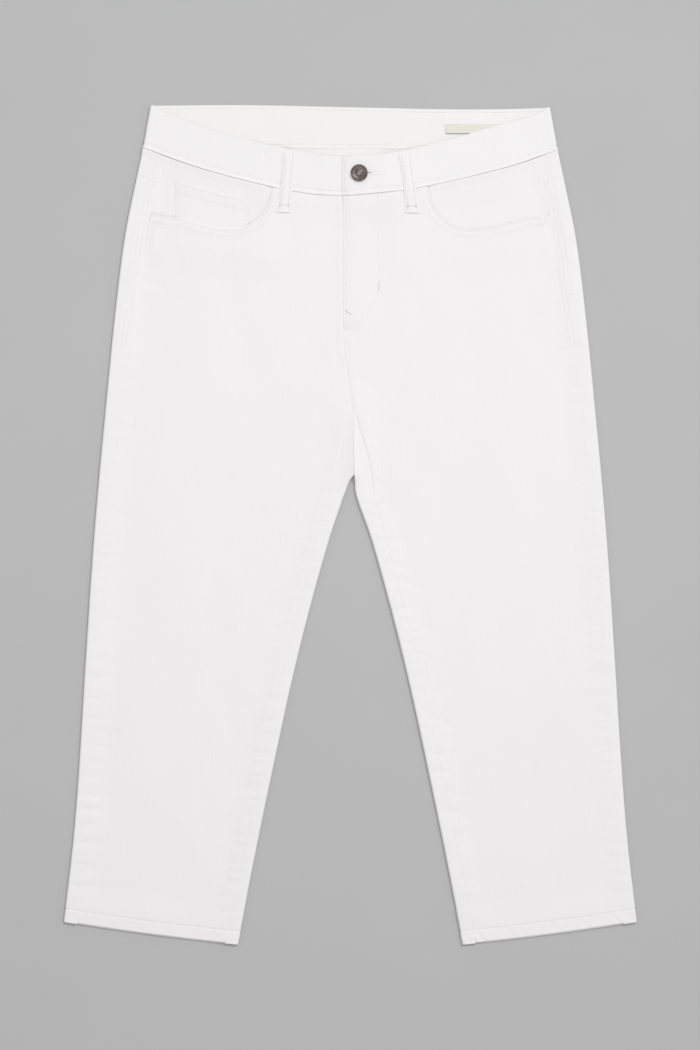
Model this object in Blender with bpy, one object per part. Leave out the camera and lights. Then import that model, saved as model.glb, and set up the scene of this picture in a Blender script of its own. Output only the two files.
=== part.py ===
"""Capri pants in stretch denim, buttoned and laid flat, front side up.

The cloth lies as two layers. Each back leg is one panel whose section is a flattened C: it lies
on the surface, turns up round the side and inner folds, and reaches the seams on the upper side.
The front legs lie on it between those seams. The hip has a facing and a coin pocket under each
scooped pocket edge, and one waistband runs round the waist and laps over itself at the button.

Frame: +X is the wearer's left, +Y runs up the garment to the waist, +Z is up. The origin is the
middle of the garment's box, on the surface it lies on. Sizes are in millimetres; MM makes them
metres.
"""

import math
from collections import namedtuple

import bpy
from mathutils import Vector

MM = 0.001

# Cloth and the gaps between pieces
CLOTH = 1.2  # one layer of body cloth
HEM_CLOTH = 2.0  # the turned-up hem
FACING_CLOTH = 1.0  # hip facing and coin pocket
BAND_CLOTH = 2.0  # waistband, outer and inner layer as one
LOOP_CLOTH = 1.4
LABEL_CLOTH = 1.0
GAP = 0.3  # between pieces that a seam joins
LAY_GAP = 0.35  # between pieces that lie on each other

# Heights above the surface
FOLD_RADIUS = 2.4  # outside of the side and inner folds of the legs
REST = CLOTH + GAP  # where the upper layer's underside lies on the lower layer
EDGE_RISE = 2 * FOLD_RADIUS - CLOTH - REST  # how much higher the upper layer is at a fold
BAND_FOLD_RADIUS = 2.8
BAND_FRONT = 2 * BAND_FOLD_RADIUS - BAND_CLOTH  # underside of the waistband's front run
BAND_LAP = BAND_FRONT + BAND_CLOTH + GAP  # underside of the lap that holds the buttonhole

# Leg and hem
HEM_OUTER = -396.7  # height of the hem's outer corner
HEM_INNER = -419.4
HEM_DEPTH = 13.5
HEM_PEEK = 1.2  # the back hem shows below the front hem by this much
HEM_BOW = 1.4  # the middle of a hem hangs this far below the line between its corners
HEM_BOW_REACH = 60.0  # and the bow is gone this far up the leg
CROTCH = (2.7, 113.8)  # where all four leg panels meet on the upper side
STRIP_TOP = CROTCH[1] - 2.0  # where the back panels' inner strips end

# Fly and button
FLY_END = 207.0  # height of the lower end of the fly
UNDERLAP = 8.0  # how far the wearer's right front goes under the fly's edge
BAND_END = -8.2  # across position of the lap's end
BAND_UNDERLAP = 31.0  # across position of the hidden end
BUTTON_AT = (8.8, 350.7)
BUTTON_RADIUS = 8.5
BUTTON_DEPTH = 2.5
SHANK_RADIUS = 2.2
EYE_RADIUS = 2.7
BUTTONHOLE = 21.0
BUTTONHOLE_SLIT = 1.0

# Hip facings and coin pocket
FACING_INNER = 63.0  # across position of the facing's inner edge
FACING_LOW = 278.0  # height of its lower edge there
FACING_SLOPE = 0.1
COIN_OUTER = (-174.3, 341.8)
COIN_INNER = (-102.3, 322.8)
COIN_TUCK = 5.0  # the coin pocket ends this far above the facing's lower edge

# Belt loops: middle of the upper end and of the lower end, for the wearer's right and left
LOOP_WIDTH = 14.0
LOOP_WAIST = 0.17  # of its width, how much narrower a loop is halfway
FRONT_LOOPS = {-1: ((-61.0, 374.0), (-66.2, 311.6)), 1: ((55.0, 371.4), (62.2, 311.6))}
LOOP_STEP = 9.0  # length over which a loop climbs onto the waistband
LOOP_CLEAR = 2.0  # it is up this far before the waistband's lower edge

# Woven label on the inside of the back waistband
LABEL_AT = (95.4, 391.2)
LABEL_SIZE = (80.0, 9.4)


class Table:
    """Rows of sizes with named columns, read on a smooth curve along the first column."""

    def __init__(self, columns, *rows):
        self.row = namedtuple("Row", columns)
        self.rows = [self.row(*row) for row in rows]

    def slope(self, i, column):
        """The curve's slope at row i: level at a turning point, so that it never overshoots."""
        steps = [
            (b[column] - a[column]) / (b[0] - a[0])
            for a, b in zip(self.rows[max(0, i - 1):], self.rows[max(1, i):i + 2])
        ]
        if len(steps) == 1:
            return steps[0]
        before, after = steps
        return 2 * before * after / (before + after) if before * after > 0 else 0.0

    def at(self, where):
        """The row where the first column is at this value, no further than the table goes."""
        where = min(self.rows[-1][0], max(self.rows[0][0], where))
        i = max(k for k in range(len(self.rows) - 1) if self.rows[k][0] <= where)
        start, end = self.rows[i], self.rows[i + 1]
        span = end[0] - start[0]
        t = (where - start[0]) / span
        values = [where]
        for column in range(1, len(start)):
            lead = span * self.slope(i, column)
            tail = span * self.slope(i + 1, column)
            values.append(
                (2 * t**3 - 3 * t**2 + 1) * start[column]
                + (t**3 - 2 * t**2 + t) * lead
                + (3 * t**2 - 2 * t**3) * end[column]
                + (t**3 - t**2) * tail
            )
        return self.row(*values)


# Half the garment's width at its side folds
OUTLINE = Table(
    "height half_width",
    (-396.7, 286.3),
    (-315.0, 277.0),
    (-255.0, 272.0),
    (-135.0, 264.5),
    (-15.0, 256.4),
    (105.0, 245.7),
    (225.0, 233.5),
    (285.0, 225.8),
    (345.0, 213.8),
    (376.0, 207.2),
    (397.2, 203.3),
    (418.4, 199.6),
)
# The space between the legs
LEG_SPACE = Table(
    "height middle half_width",
    (-419.4, 0.0, 112.0),
    (-375.0, 0.0, 104.0),
    (-255.0, 0.0, 79.7),
    (-135.0, 0.0, 53.4),
    (-15.0, 0.0, 21.2),
    (24.8, -0.4, 7.6),
    (34.8, 0.3, 4.5),
    (44.8, 2.1, 2.2),
    (51.0, 3.8, 0.0),
    (113.8, 2.7, 0.0),
)
# Distance of the side seam from the side fold, on the upper side
SIDE_SEAM = Table(
    "height inset",
    (-396.7, 13.5),
    (-75.0, 12.5),
    (45.0, 13.0),
    (105.0, 15.0),
    (165.0, 18.0),
    (225.0, 21.0),
    (275.0, 22.3),
    (345.0, 21.3),
    (376.0, 20.0),
)
# Distance of the inseam from the inner fold, on the upper side
INSEAM = Table(
    "height inset",
    (-419.4, 13.5),
    (-75.0, 13.0),
    (-15.0, 14.5),
    (20.0, 17.0),
    (45.0, 18.0),
    (68.0, 14.0),
    (90.0, 8.0),
    (111.8, 2.6),
)
# Centre front seam and fly edge
CENTRE_FRONT = Table(
    "height across",
    (113.8, 2.7),
    (130.0, 0.7),
    (150.0, -1.8),
    (175.0, -5.3),
    (200.0, -7.0),
    (335.0, -7.1),
)
# Centre back seam, on the underside
CENTRE_BACK = Table(
    "height across",
    (107.8, 2.8),
    (200.0, 1.0),
    (376.0, 0.0),
)
# Lower edge of the waistband's front run
BAND_LOW = Table(
    "across height",
    (-207.2, 375.6),
    (-185.0, 367.4),
    (-160.0, 358.6),
    (-130.0, 349.7),
    (-95.0, 340.9),
    (-60.0, 333.5),
    (-30.0, 329.5),
    (-5.0, 328.7),
    (20.0, 330.6),
    (55.0, 334.5),
    (90.0, 341.2),
    (130.0, 350.9),
    (165.0, 360.4),
    (187.0, 368.0),
    (207.2, 375.6),
)
# Upper edge of the waistband's front run
BAND_HIGH = Table(
    "across height",
    (-199.6, 417.8),
    (-182.0, 409.0),
    (-162.0, 402.0),
    (-140.0, 393.9),
    (-100.0, 383.2),
    (-65.0, 375.2),
    (-45.0, 371.7),
    (-25.0, 368.8),
    (0.0, 367.8),
    (25.0, 369.0),
    (45.0, 372.1),
    (63.0, 376.0),
    (90.0, 382.5),
    (120.0, 391.3),
    (150.0, 400.2),
    (170.0, 405.4),
    (185.0, 409.6),
    (199.6, 417.8),
)
BAND_BACK_LOW = 375.6  # lower edge of its back run
# Upper edge of the back run
BAND_TOP = Table(
    "across height",
    (-199.6, 417.8),
    (-108.0, 418.8),
    (0.0, 417.2),
    (110.0, 415.6),
    (160.0, 416.2),
    (199.6, 417.8),
)
# Scooped edge of the front pocket, from the waistband to the side seam
POCKET_EDGE = Table(
    "across height",
    (77.0, 337.0),
    (81.0, 323.0),
    (88.0, 310.0),
    (98.0, 301.5),
    (112.0, 295.8),
    (126.0, 294.8),
    (144.0, 297.7),
    (170.0, 304.4),
    (199.0, 309.5),
)
# Height of the yoke seam: straight from the side fold to the centre back, and to the side seam
YOKE_SIDE = 349.5
YOKE_CENTRE = 300.0
YOKE_SEAM = 340.5
# Soft swells of the upper layer
SWELLS = Table(
    "across height half_length half_width lean rise",
    (-150.0, 190.0, 105.0, 34.0, 6.0, 0.9),
    (-70.0, 150.0, 60.0, 22.0, -20.0, 0.7),
    (-170.0, -60.0, 120.0, 30.0, 4.0, 1.1),
    (-200.0, -240.0, 110.0, 26.0, 5.0, 0.9),
    (-150.0, -330.0, 60.0, 20.0, 14.0, 0.6),
    (95.0, 200.0, 80.0, 30.0, 8.0, 0.8),
    (165.0, 80.0, 110.0, 30.0, -7.0, 1.0),
    (150.0, -110.0, 120.0, 32.0, -12.0, 1.1),
    (215.0, -220.0, 90.0, 24.0, -4.0, 0.8),
    (175.0, -320.0, 60.0, 22.0, -10.0, 0.7),
)

# How far the shapes of the upper layer reach from what lifts it
FOLD_REACH = 30.0
WAIST_REACH = 30.0
HEM_REACH = 12.0
STEP_REACH = 12.0  # over the edge of a piece that lies beneath
STEP_CLEAR = 9.0  # full height this far before that edge
LAP_REACH = 22.0  # of the waistband's lap past the underlap's end
WAIST_SHARE = 0.65  # of EDGE_RISE, where the body meets the waistband
HEM_SHARE = 0.78
LEAN = 0.005  # the waist lies a third of a degree off square
LEAN_FROM = 250.0
LEAN_OVER = 100.0

# Mesh divisions
LEG_ROWS = (0.0, 0.012, 0.026, 0.034, 0.08, 0.15, 0.22, 0.3, 0.38, 0.46, 0.54, 0.62, 0.7, 0.77,
            0.83, 0.88, 0.92, 0.96, 1.0)
HEM_TOP_ROW = LEG_ROWS[2]
FRONT_COLUMNS = (0.0, 0.02, 0.06, 0.12, 0.19, 0.27, 0.35, 0.42, 0.48, 0.54, 0.6, 0.65, 0.7, 0.75,
                 0.82, 0.88, 0.93, 0.97, 1.0)
BACK_HIP_ROWS = 9
BAND_COLUMNS = (0.0, 0.06, 0.12, 0.17, 0.22, 0.28, 0.36, 0.46, 0.56, 0.66, 0.76, 0.86, 0.94)
BAND_BACK_STEPS = 8
FRONT_HIP_ROWS = (0.0, 0.1, 0.2, 0.3, 0.37, 0.43, 0.49, 0.56, 0.62, 0.68, 0.74, 0.79, 0.84, 0.88,
                  0.92, 0.96, 1.0)
FOLD_STEPS = 6
SIDE_STRIP_SHARES = (0.0, 0.3, 0.65)
INNER_STRIP_SHARES = (0.0, 0.4, 0.75)
BACK_STEPS = 6

WHITE_DENIM = (0.86, 0.86, 0.87, 1.0)
LABEL_CREAM = (0.78, 0.76, 0.66, 1.0)
DARK_METAL = (0.09, 0.075, 0.07, 1.0)


def smooth(t):
    """0 below 0, 1 above 1, and an even S between."""
    t = min(1.0, max(0.0, t))
    return t * t * (3 - 2 * t)


def blend(a, b, t):
    return a + (b - a) * t


def side_fold(side, y):
    """Plan position of the side fold, side being -1 for the wearer's right and 1 for the left."""
    return Vector((side * OUTLINE.at(y).half_width, y))


def inner_fold(side, y):
    middle, half = LEG_SPACE.at(y).middle, LEG_SPACE.at(y).half_width
    return Vector((middle + side * (half + GAP / 2), y))


def facing_low(across):
    return FACING_LOW + FACING_SLOPE * (across - FACING_INNER)


def hem_height(across):
    """Height of the hem's edge, which slants down to the inner corner."""
    outer, inner = OUTLINE.at(HEM_OUTER).half_width, LEG_SPACE.at(HEM_INNER).half_width
    return blend(HEM_INNER, HEM_OUTER, (across - inner) / (outer - inner))


def swell(x, y):
    """How much the soft swells raise the upper layer."""
    rise = 0.0
    for one in SWELLS.rows:
        turn = math.radians(one.lean)
        dx, dy = x - one.across, y - one.height
        along = (dy * math.cos(turn) - dx * math.sin(turn)) / one.half_length
        beside = (dx * math.cos(turn) + dy * math.sin(turn)) / one.half_width
        rise += one.rise * math.exp(-along * along - beside * beside)
    return rise


def upper_lay(x, y):
    """Height of the underside of the upper layer where only one layer lies there."""
    across = abs(x)
    from_side = OUTLINE.at(y).half_width - across
    if y < CROTCH[1]:
        middle, half = LEG_SPACE.at(y).middle, LEG_SPACE.at(y).half_width
        from_inner = abs(x - middle) - half
    else:
        from_inner = math.hypot(x - CROTCH[0], y - CROTCH[1])
    from_waist = BAND_LOW.at(x).height - y
    from_hem = y - hem_height(across)
    flat = (
        smooth((from_side - 4.0) / FOLD_REACH)
        * smooth((from_inner - 4.0) / FOLD_REACH)
        * (1 - WAIST_SHARE * (1 - smooth(from_waist / WAIST_REACH)))
        * (1 - HEM_SHARE * (1 - smooth((from_hem - HEM_DEPTH) / HEM_REACH)))
    )
    return REST + EDGE_RISE * (1 - flat) + swell(x, y) * flat


def over_facing(x, y):
    """1 where the hip facing lies beneath, falling to 0 past its edges."""
    across = abs(x)
    inward = smooth((across - FACING_INNER + STEP_CLEAR + STEP_REACH) / STEP_REACH)
    upward = smooth((y - facing_low(across) + STEP_CLEAR + STEP_REACH) / STEP_REACH)
    return inward * upward


def over_coin_pocket(x, y):
    low = facing_low(abs(x)) + COIN_TUCK
    return (
        smooth((x - COIN_OUTER[0] + STEP_CLEAR + STEP_REACH) / STEP_REACH)
        * smooth((COIN_INNER[0] + STEP_CLEAR + STEP_REACH - x) / STEP_REACH)
        * smooth((y - low + STEP_CLEAR + STEP_REACH) / STEP_REACH)
    )


def over_underlap(x, y):
    """1 where the fly's edge laps over the other front."""
    past = x - CENTRE_FRONT.at(y).across - UNDERLAP
    return (1 - smooth((past - 1.0) / STEP_REACH)) * smooth((y - FLY_END + 1.0 + STEP_REACH) / STEP_REACH)


def front_top(side, x, y):
    """Height of a front leg's outer face."""
    lift = (FACING_CLOTH + LAY_GAP) * over_facing(x, y)
    if side < 0:
        lift += (FACING_CLOTH + LAY_GAP) * over_coin_pocket(x, y)
    else:
        lift += (CLOTH + LAY_GAP) * over_underlap(x, y)
    return upper_lay(x, y) + lift + CLOTH


def body_top(x, y):
    """Height of the back leg's and yoke's outer face where they reach the upper side."""
    return upper_lay(x, y) + CLOTH


def hem_bow(x, y):
    """How far the cloth near a hem hangs below the line between the hem's corners."""
    outer, inner = OUTLINE.rows[0].half_width, LEG_SPACE.rows[0].half_width
    share = min(1.0, max(0.0, (abs(x) - inner) / (outer - inner)))
    fade = 1 - smooth((y - hem_height(abs(x))) / HEM_BOW_REACH)
    return HEM_BOW * 4 * share * (1 - share) * fade


def place(x, y, z):
    """The point in metres, with the waist leaning a little and the hems bowed."""
    lean = LEAN * x * smooth((y - LEAN_FROM) / LEAN_OVER)
    return Vector((x, y - lean - hem_bow(x, y), z)) * MM


def material(name, colour, roughness, metallic=0.0):
    made = bpy.data.materials.get(name)
    if made is None:
        made = bpy.data.materials.new(name)
        made.use_nodes = True
        shader = made.node_tree.nodes["Principled BSDF"]
        shader.inputs["Base Color"].default_value = colour
        shader.inputs["Roughness"].default_value = roughness
        shader.inputs["Metallic"].default_value = metallic
    return made


def denim():
    return material("white_denim", WHITE_DENIM, 0.9)


def add_object(name, points, faces, finish):
    mesh = bpy.data.meshes.new(name)
    mesh.from_pydata(points, [], faces)
    mesh.materials.append(finish)
    made = bpy.data.objects.new(name, mesh)
    bpy.context.scene.collection.objects.link(made)
    return made


def add_cloth(name, rows, thickness, finish, flip=False, shares=None):
    """A wall of cloth from rows of points on its outer face, None where a row has no cloth.

    shares, where they are given, are each row's share of the thickness.
    """
    index, points, point_shares = {}, [], []
    for r, row in enumerate(rows):
        for c, point in enumerate(row):
            if point is not None:
                index[r, c] = len(points)
                points.append(point)
                point_shares.append(shares[r] if shares else 1.0)
    faces = []
    for r in range(len(rows) - 1):
        for c in range(len(rows[r]) - 1):
            corners = [(r, c), (r, c + 1), (r + 1, c + 1), (r + 1, c)]
            if all(corner in index for corner in corners):
                face = [index[corner] for corner in corners]
                faces.append(face[::-1] if flip else face)
    made = add_object(name, points, faces, finish)
    wall = made.modifiers.new("wall", "SOLIDIFY")
    wall.thickness = thickness * MM
    wall.offset = -1.0
    wall.use_even_offset = True
    if shares:
        group = made.vertex_groups.new(name="share_of_thickness")
        for i, share in enumerate(point_shares):
            group.add([i], share, "REPLACE")
        wall.vertex_group = group.name
    made.data.shade_smooth()
    made.data.set_sharp_from_angle(angle=math.radians(50))
    return made


def leg_section(side, t):
    """The side fold's and inner fold's plan positions on one section of a leg, t up from the hem."""
    outer = side_fold(side, blend(HEM_OUTER, STRIP_TOP, t))
    inner = inner_fold(side, blend(HEM_INNER, STRIP_TOP, t))
    return outer, inner


def side_strip(outer, inward, inset, face):
    """Points from the side seam out over the upper side and round the fold to the underside."""
    points = []
    for share in SIDE_STRIP_SHARES:
        spot = outer + inward * blend(inset, FOLD_RADIUS, share)
        points.append(place(*spot, face(*spot)))
    for step in range(FOLD_STEPS + 1):
        turn = math.pi * step / FOLD_STEPS
        spot = outer + inward * FOLD_RADIUS * (1 - math.sin(turn))
        points.append(place(*spot, FOLD_RADIUS * (1 + math.cos(turn))))
    return points


def back_section(side, t):
    """One section of a back leg, from the side seam round both folds to the inseam."""
    outer, inner = leg_section(side, t)
    inward = (inner - outer).normalized()
    row = side_strip(outer, inward, SIDE_SEAM.at(outer.y).inset, body_top)
    start, end = outer + inward * FOLD_RADIUS, inner - inward * FOLD_RADIUS
    row += [place(*start.lerp(end, k / BACK_STEPS), 0.0) for k in range(1, BACK_STEPS)]
    inset = INSEAM.at(inner.y).inset
    inner_strip = []
    for share in INNER_STRIP_SHARES:
        spot = inner - inward * blend(inset, FOLD_RADIUS, share)
        inner_strip.append(place(*spot, body_top(*spot)))
    for step in range(FOLD_STEPS + 1):
        turn = math.pi * step / FOLD_STEPS
        spot = inner - inward * FOLD_RADIUS * (1 - math.sin(turn))
        inner_strip.append(place(*spot, FOLD_RADIUS * (1 + math.cos(turn))))
    return row + inner_strip[::-1]


def back_row(side, outer_y, centre_y, strip_y):
    """One row of the seat: the side strip, the side fold and the underside to the centre back.

    The strip's seam end lies at strip_y, lower than the fold under the waistband's front run.
    """
    outer = side_fold(side, outer_y)
    centre = Vector((CENTRE_BACK.at(centre_y).across + side * GAP / 2, centre_y))
    inward = (centre - outer).normalized()
    seam = Vector((side * (OUTLINE.at(strip_y).half_width - SIDE_SEAM.at(strip_y).inset), strip_y))
    toward_seam = seam - outer
    row = side_strip(outer, toward_seam.normalized(), toward_seam.length, body_top)
    start = outer + inward * FOLD_RADIUS
    row += [place(*start.lerp(centre, k / BACK_STEPS), 0.0) for k in range(1, BACK_STEPS + 1)]
    return row


def hem_shares():
    """Each leg section's thickness as a share of the hem's."""
    return [1.0 if t <= HEM_TOP_ROW else CLOTH / HEM_CLOTH for t in LEG_ROWS]


def add_back_leg(side, name):
    """Back panel of one leg, from the hem to the yoke seam."""
    rows = [back_section(side, t) for t in LEG_ROWS]
    shares = hem_shares()
    columns = len(rows[0])
    outer_columns = len(SIDE_STRIP_SHARES) + FOLD_STEPS + 1 + BACK_STEPS
    for k in range(1, BACK_HIP_ROWS + 1):
        t = k / BACK_HIP_ROWS
        outer_y = blend(STRIP_TOP, YOKE_SIDE - GAP, t)
        centre_y = blend(STRIP_TOP, YOKE_CENTRE - GAP, t)
        row = back_row(side, outer_y, centre_y, blend(STRIP_TOP, YOKE_SEAM - GAP, t))
        rows.append(row + [None] * (columns - outer_columns))
        shares.append(CLOTH / HEM_CLOTH)
    return add_cloth(name, rows, HEM_CLOTH, denim(), flip=side < 0, shares=shares)


def add_yoke(side, name):
    """Yoke from the back leg's top to the waistband, with its strip on the upper side."""
    rows = []
    seam_x = OUTLINE.at(BAND_BACK_LOW).half_width - SIDE_SEAM.at(BAND_BACK_LOW).inset
    for k in range(4):
        t = k / 3
        rows.append(
            back_row(
                side,
                blend(YOKE_SIDE, BAND_BACK_LOW - GAP, t),
                blend(YOKE_CENTRE, BAND_BACK_LOW - GAP, t),
                blend(YOKE_SEAM, BAND_LOW.at(side * seam_x).height - GAP, t),
            )
        )
    return add_cloth(name, rows, CLOTH, denim(), flip=side < 0)


def side_seam(side, y):
    """Plan position of the front's edge at the side seam."""
    return Vector((side * (OUTLINE.at(y).half_width - SIDE_SEAM.at(y).inset - GAP), y))


def coons(low, high, left, right, u, v):
    """A point of the patch that four edge curves bound, u across and v up."""
    ruled_up = low(u).lerp(high(u), v)
    ruled_across = left(v).lerp(right(v), u)
    corners = low(0).lerp(low(1), u).lerp(high(0).lerp(high(1), u), v)
    return ruled_up + ruled_across - corners


def pocket_points(side):
    """The front leg's top edge, from the side seam round the pocket's scoop to the centre front."""
    scoop = [Vector((side * x, y)) for x, y in POCKET_EDGE.rows[::-1]]
    start = side_seam(side, POCKET_EDGE.rows[-1].height)
    centre = CENTRE_FRONT.at(BAND_LOW.at(0.0).height).across
    end_x = centre + UNDERLAP if side < 0 else centre + GAP / 2
    steps = 6
    first = POCKET_EDGE.rows[0].across * side
    waist = []
    for k in range(steps + 1):
        x = blend(first, end_x, k / steps)
        waist.append(Vector((x, BAND_LOW.at(x).height - GAP)))
    return [start] + scoop[1:-1] + waist


def on_path(points, share):
    """The point at this share of the path's length."""
    lengths = [(b - a).length for a, b in zip(points, points[1:])]
    left = share * sum(lengths)
    for a, b, length in zip(points, points[1:], lengths):
        if left <= length:
            return a.lerp(b, left / length)
        left -= length
    return points[-1].copy()


def front_centre(side, y):
    """Plan position of a front's edge at the centre front."""
    under = UNDERLAP * smooth((y - FLY_END) / STEP_REACH) if side < 0 else 0.0
    gap = GAP / 2 * side if under < GAP else 0.0
    return Vector((CENTRE_FRONT.at(y).across + gap + under, y))


def add_front_leg(side, name):
    """Front panel of one leg, from the hem to the waistband and the pocket's scooped edge."""
    rows = []
    for t in LEG_ROWS:
        outer, inner = leg_section(side, t)
        inward = (inner - outer).normalized()
        start = outer + inward * (SIDE_SEAM.at(outer.y).inset + GAP)
        end = inner - inward * (INSEAM.at(inner.y).inset + GAP)
        raised = Vector((0.0, HEM_PEEK if t == 0 else 0.0))
        spots = [start.lerp(end, u) + raised for u in FRONT_COLUMNS]
        rows.append([place(*spot, front_top(side, *spot)) for spot in spots])
    shares = hem_shares()
    edge = pocket_points(side)

    def low(u):
        return side_seam(side, CROTCH[1]).lerp(front_centre(side, CROTCH[1]), u)

    def high(u):
        return on_path(edge, u)

    def left(v):
        return side_seam(side, blend(CROTCH[1], edge[0].y, v))

    def right(v):
        return front_centre(side, blend(CROTCH[1], edge[-1].y, v))

    for v in FRONT_HIP_ROWS:
        spots = [coons(low, high, left, right, u, v) for u in FRONT_COLUMNS]
        rows.append([place(*spot, front_top(side, *spot)) for spot in spots])
        shares.append(CLOTH / HEM_CLOTH)
    return add_cloth(name, rows, HEM_CLOTH, denim(), flip=side > 0, shares=shares)


def add_facing(side, name):
    """Hip facing that shows in the pocket's scoop and fills the side up to the waistband."""
    seam_x = OUTLINE.at(BAND_BACK_LOW).half_width - SIDE_SEAM.at(BAND_BACK_LOW).inset - GAP
    top = BAND_LOW.at(side * seam_x).height - GAP
    low_outer = side_seam(side, facing_low(seam_x))

    def low(u):
        x = blend(abs(low_outer.x), FACING_INNER, u)
        return Vector((side * x, facing_low(x)))

    def high(u):
        x = side * blend(seam_x, FACING_INNER, u)
        return Vector((x, BAND_LOW.at(x).height - GAP))

    def left(v):
        y = blend(facing_low(abs(low_outer.x)), top, v)
        return Vector((side_seam(side, y).x, y))

    def right(v):
        return low(1).lerp(high(1), v)

    columns, steps = 10, 6
    rows = []
    for j in range(steps + 1):
        spots = [coons(low, high, left, right, i / columns, j / steps) for i in range(columns + 1)]
        rows.append([place(*s, upper_lay(*s) + FACING_CLOTH) for s in spots])
    return add_cloth(name, rows, FACING_CLOTH, denim(), flip=side > 0)


def add_coin_pocket(name):
    """Coin pocket on the wearer's right facing, its lower part hidden under the front."""
    columns, steps = 6, 4
    rows = []
    for j in range(steps + 1):
        row = []
        for i in range(columns + 1):
            x = blend(COIN_OUTER[0], COIN_INNER[0], i / columns)
            top = blend(COIN_OUTER[1], COIN_INNER[1], i / columns)
            y = blend(facing_low(abs(x)) + COIN_TUCK, top, j / steps)
            row.append(place(x, y, upper_lay(x, y) + 2 * FACING_CLOTH + LAY_GAP))
        rows.append(row)
    return add_cloth(name, rows, FACING_CLOTH, denim())


def band_edges(x):
    """Lower and upper plan position of the waistband's front run, x along its lower edge."""
    high_x = x * BAND_HIGH.rows[-1].across / BAND_LOW.rows[-1].across
    low = Vector((x, BAND_LOW.at(x).height))
    return low, Vector((high_x, BAND_HIGH.at(high_x).height))


def band_lap(x):
    """How far the lap's end is raised over the underlap."""
    return (BAND_LAP - BAND_FRONT) * (1 - smooth((x - BAND_UNDERLAP - 1.0) / LAP_REACH))


def front_run(start, end, lift):
    """Sections of the waistband's front run from one across position to another."""
    sections = []
    for share in BAND_COLUMNS:
        x = blend(start, end, share)
        low, high = band_edges(x)
        top = BAND_FRONT + BAND_CLOTH + lift(x)
        sections.append((place(*low, top), place(*high, top)))
    return sections


def band_fold(side):
    """Sections round the waistband's side fold, from the front run to the back run."""
    low, high = band_edges(side * BAND_LOW.rows[-1].across)
    sections = []
    for step in range(FOLD_STEPS + 1):
        turn = math.pi * step / FOLD_STEPS
        inset = -side * BAND_FOLD_RADIUS * (1 - math.sin(turn))
        z = BAND_FOLD_RADIUS * (1 + math.cos(turn))
        sections.append((place(low.x + inset, low.y, z), place(high.x + inset, high.y, z)))
    return sections


def band_sections():
    """The waistband's outer face from the lap's end round to the underlap, as (low, high) points."""
    reach = BAND_LOW.rows[-1].across
    back_run = []
    for k in range(1, BAND_BACK_STEPS):
        x = blend(reach - BAND_FOLD_RADIUS, BAND_FOLD_RADIUS - reach, k / BAND_BACK_STEPS)
        high_x = x * BAND_TOP.rows[-1].across / reach
        high_y = BAND_TOP.at(high_x).height
        back_run.append((place(x, BAND_BACK_LOW, 0.0), place(high_x, high_y, 0.0)))
    lap_run = front_run(BAND_END, reach, band_lap)
    under_run = front_run(BAND_UNDERLAP, -reach, lambda x: 0.0)
    return lap_run + band_fold(1) + back_run + band_fold(-1)[::-1] + under_run[::-1]


def add_buttonhole_cutter():
    """Keyhole prism: a round eye at the button and a slit along the waistband."""
    low, high = (BAND_LAP - 0.15) * MM, (BAND_LAP + BAND_CLOTH + 1.0) * MM
    steps = 14
    half_slit = math.asin(BUTTONHOLE_SLIT / 2 / EYE_RADIUS)
    outline = []
    for k in range(steps + 1):
        turn = blend(half_slit, 2 * math.pi - half_slit, k / steps)
        outline.append((EYE_RADIUS * math.cos(turn), EYE_RADIUS * math.sin(turn)))
    outline += [(BUTTONHOLE, -BUTTONHOLE_SLIT / 2), (BUTTONHOLE, BUTTONHOLE_SLIT / 2)]
    points = []
    for z in (low, high):
        for dx, dy in outline:
            spot = place(BUTTON_AT[0] + dx, BUTTON_AT[1] + dy, 0.0)
            points.append((spot.x, spot.y, z))
    count = len(outline)
    faces = [list(range(count))[::-1], list(range(count, 2 * count))]
    faces += [(k, (k + 1) % count, (k + 1) % count + count, k + count) for k in range(count)]
    cutter = add_object("buttonhole_cutter", points, faces, denim())
    cutter.hide_render = True
    cutter.display_type = "WIRE"
    return cutter


def add_waistband(name):
    """Waistband as one wall that runs round the waist and laps over itself at the button."""
    depth_steps = 4
    rows = [
        [low.lerp(high, k / depth_steps) for low, high in band_sections()]
        for k in range(depth_steps + 1)
    ]
    made = add_cloth(name, rows, BAND_CLOTH, denim())
    cut = made.modifiers.new("buttonhole", "BOOLEAN")
    cut.operation = "DIFFERENCE"
    cut.solver = "EXACT"
    cut.object = add_buttonhole_cutter()
    return made


def add_front_loop(side, name):
    """Belt loop over the waistband's front run, its lower end tacked to the front leg."""
    (top_x, top_y), (low_x, low_y) = FRONT_LOOPS[side]
    stations = (0.0, 0.04, 0.12, 0.2, 0.27, 0.34, 0.42, 0.6, 0.8, 1.0)
    rows = []
    for t in stations:
        row = []
        width = LOOP_WIDTH * (1 - LOOP_WAIST * math.sin(math.pi * t))
        for k in range(3):
            x = blend(low_x, top_x, t) + width * (k / 2 - 0.5)
            y = blend(low_y, top_y, t)
            on_body = front_top(side, x, min(y, BAND_LOW.at(x).height)) + LAY_GAP
            on_band = BAND_FRONT + BAND_CLOTH + LAY_GAP + (band_lap(x) if side > 0 else 0.0)
            before_edge = BAND_LOW.at(x).height - LOOP_CLEAR - y
            past_edge = 1 - smooth(before_edge / LOOP_STEP)
            row.append(place(x, y, blend(on_body, on_band, past_edge) + LOOP_CLOTH))
        rows.append(row)
    return add_cloth(name, rows, LOOP_CLOTH, denim())


def add_label(name):
    """Bare woven label on the inside of the waistband's back run."""
    (x, y), (length, height) = LABEL_AT, LABEL_SIZE
    z = BAND_CLOTH + GAP + LABEL_CLOTH
    rows = [
        [place(x + length * i / 4, y + height * j, z) for i in range(5)]
        for j in range(2)
    ]
    return add_cloth(name, rows, LABEL_CLOTH, material("label", LABEL_CREAM, 0.7))


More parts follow.
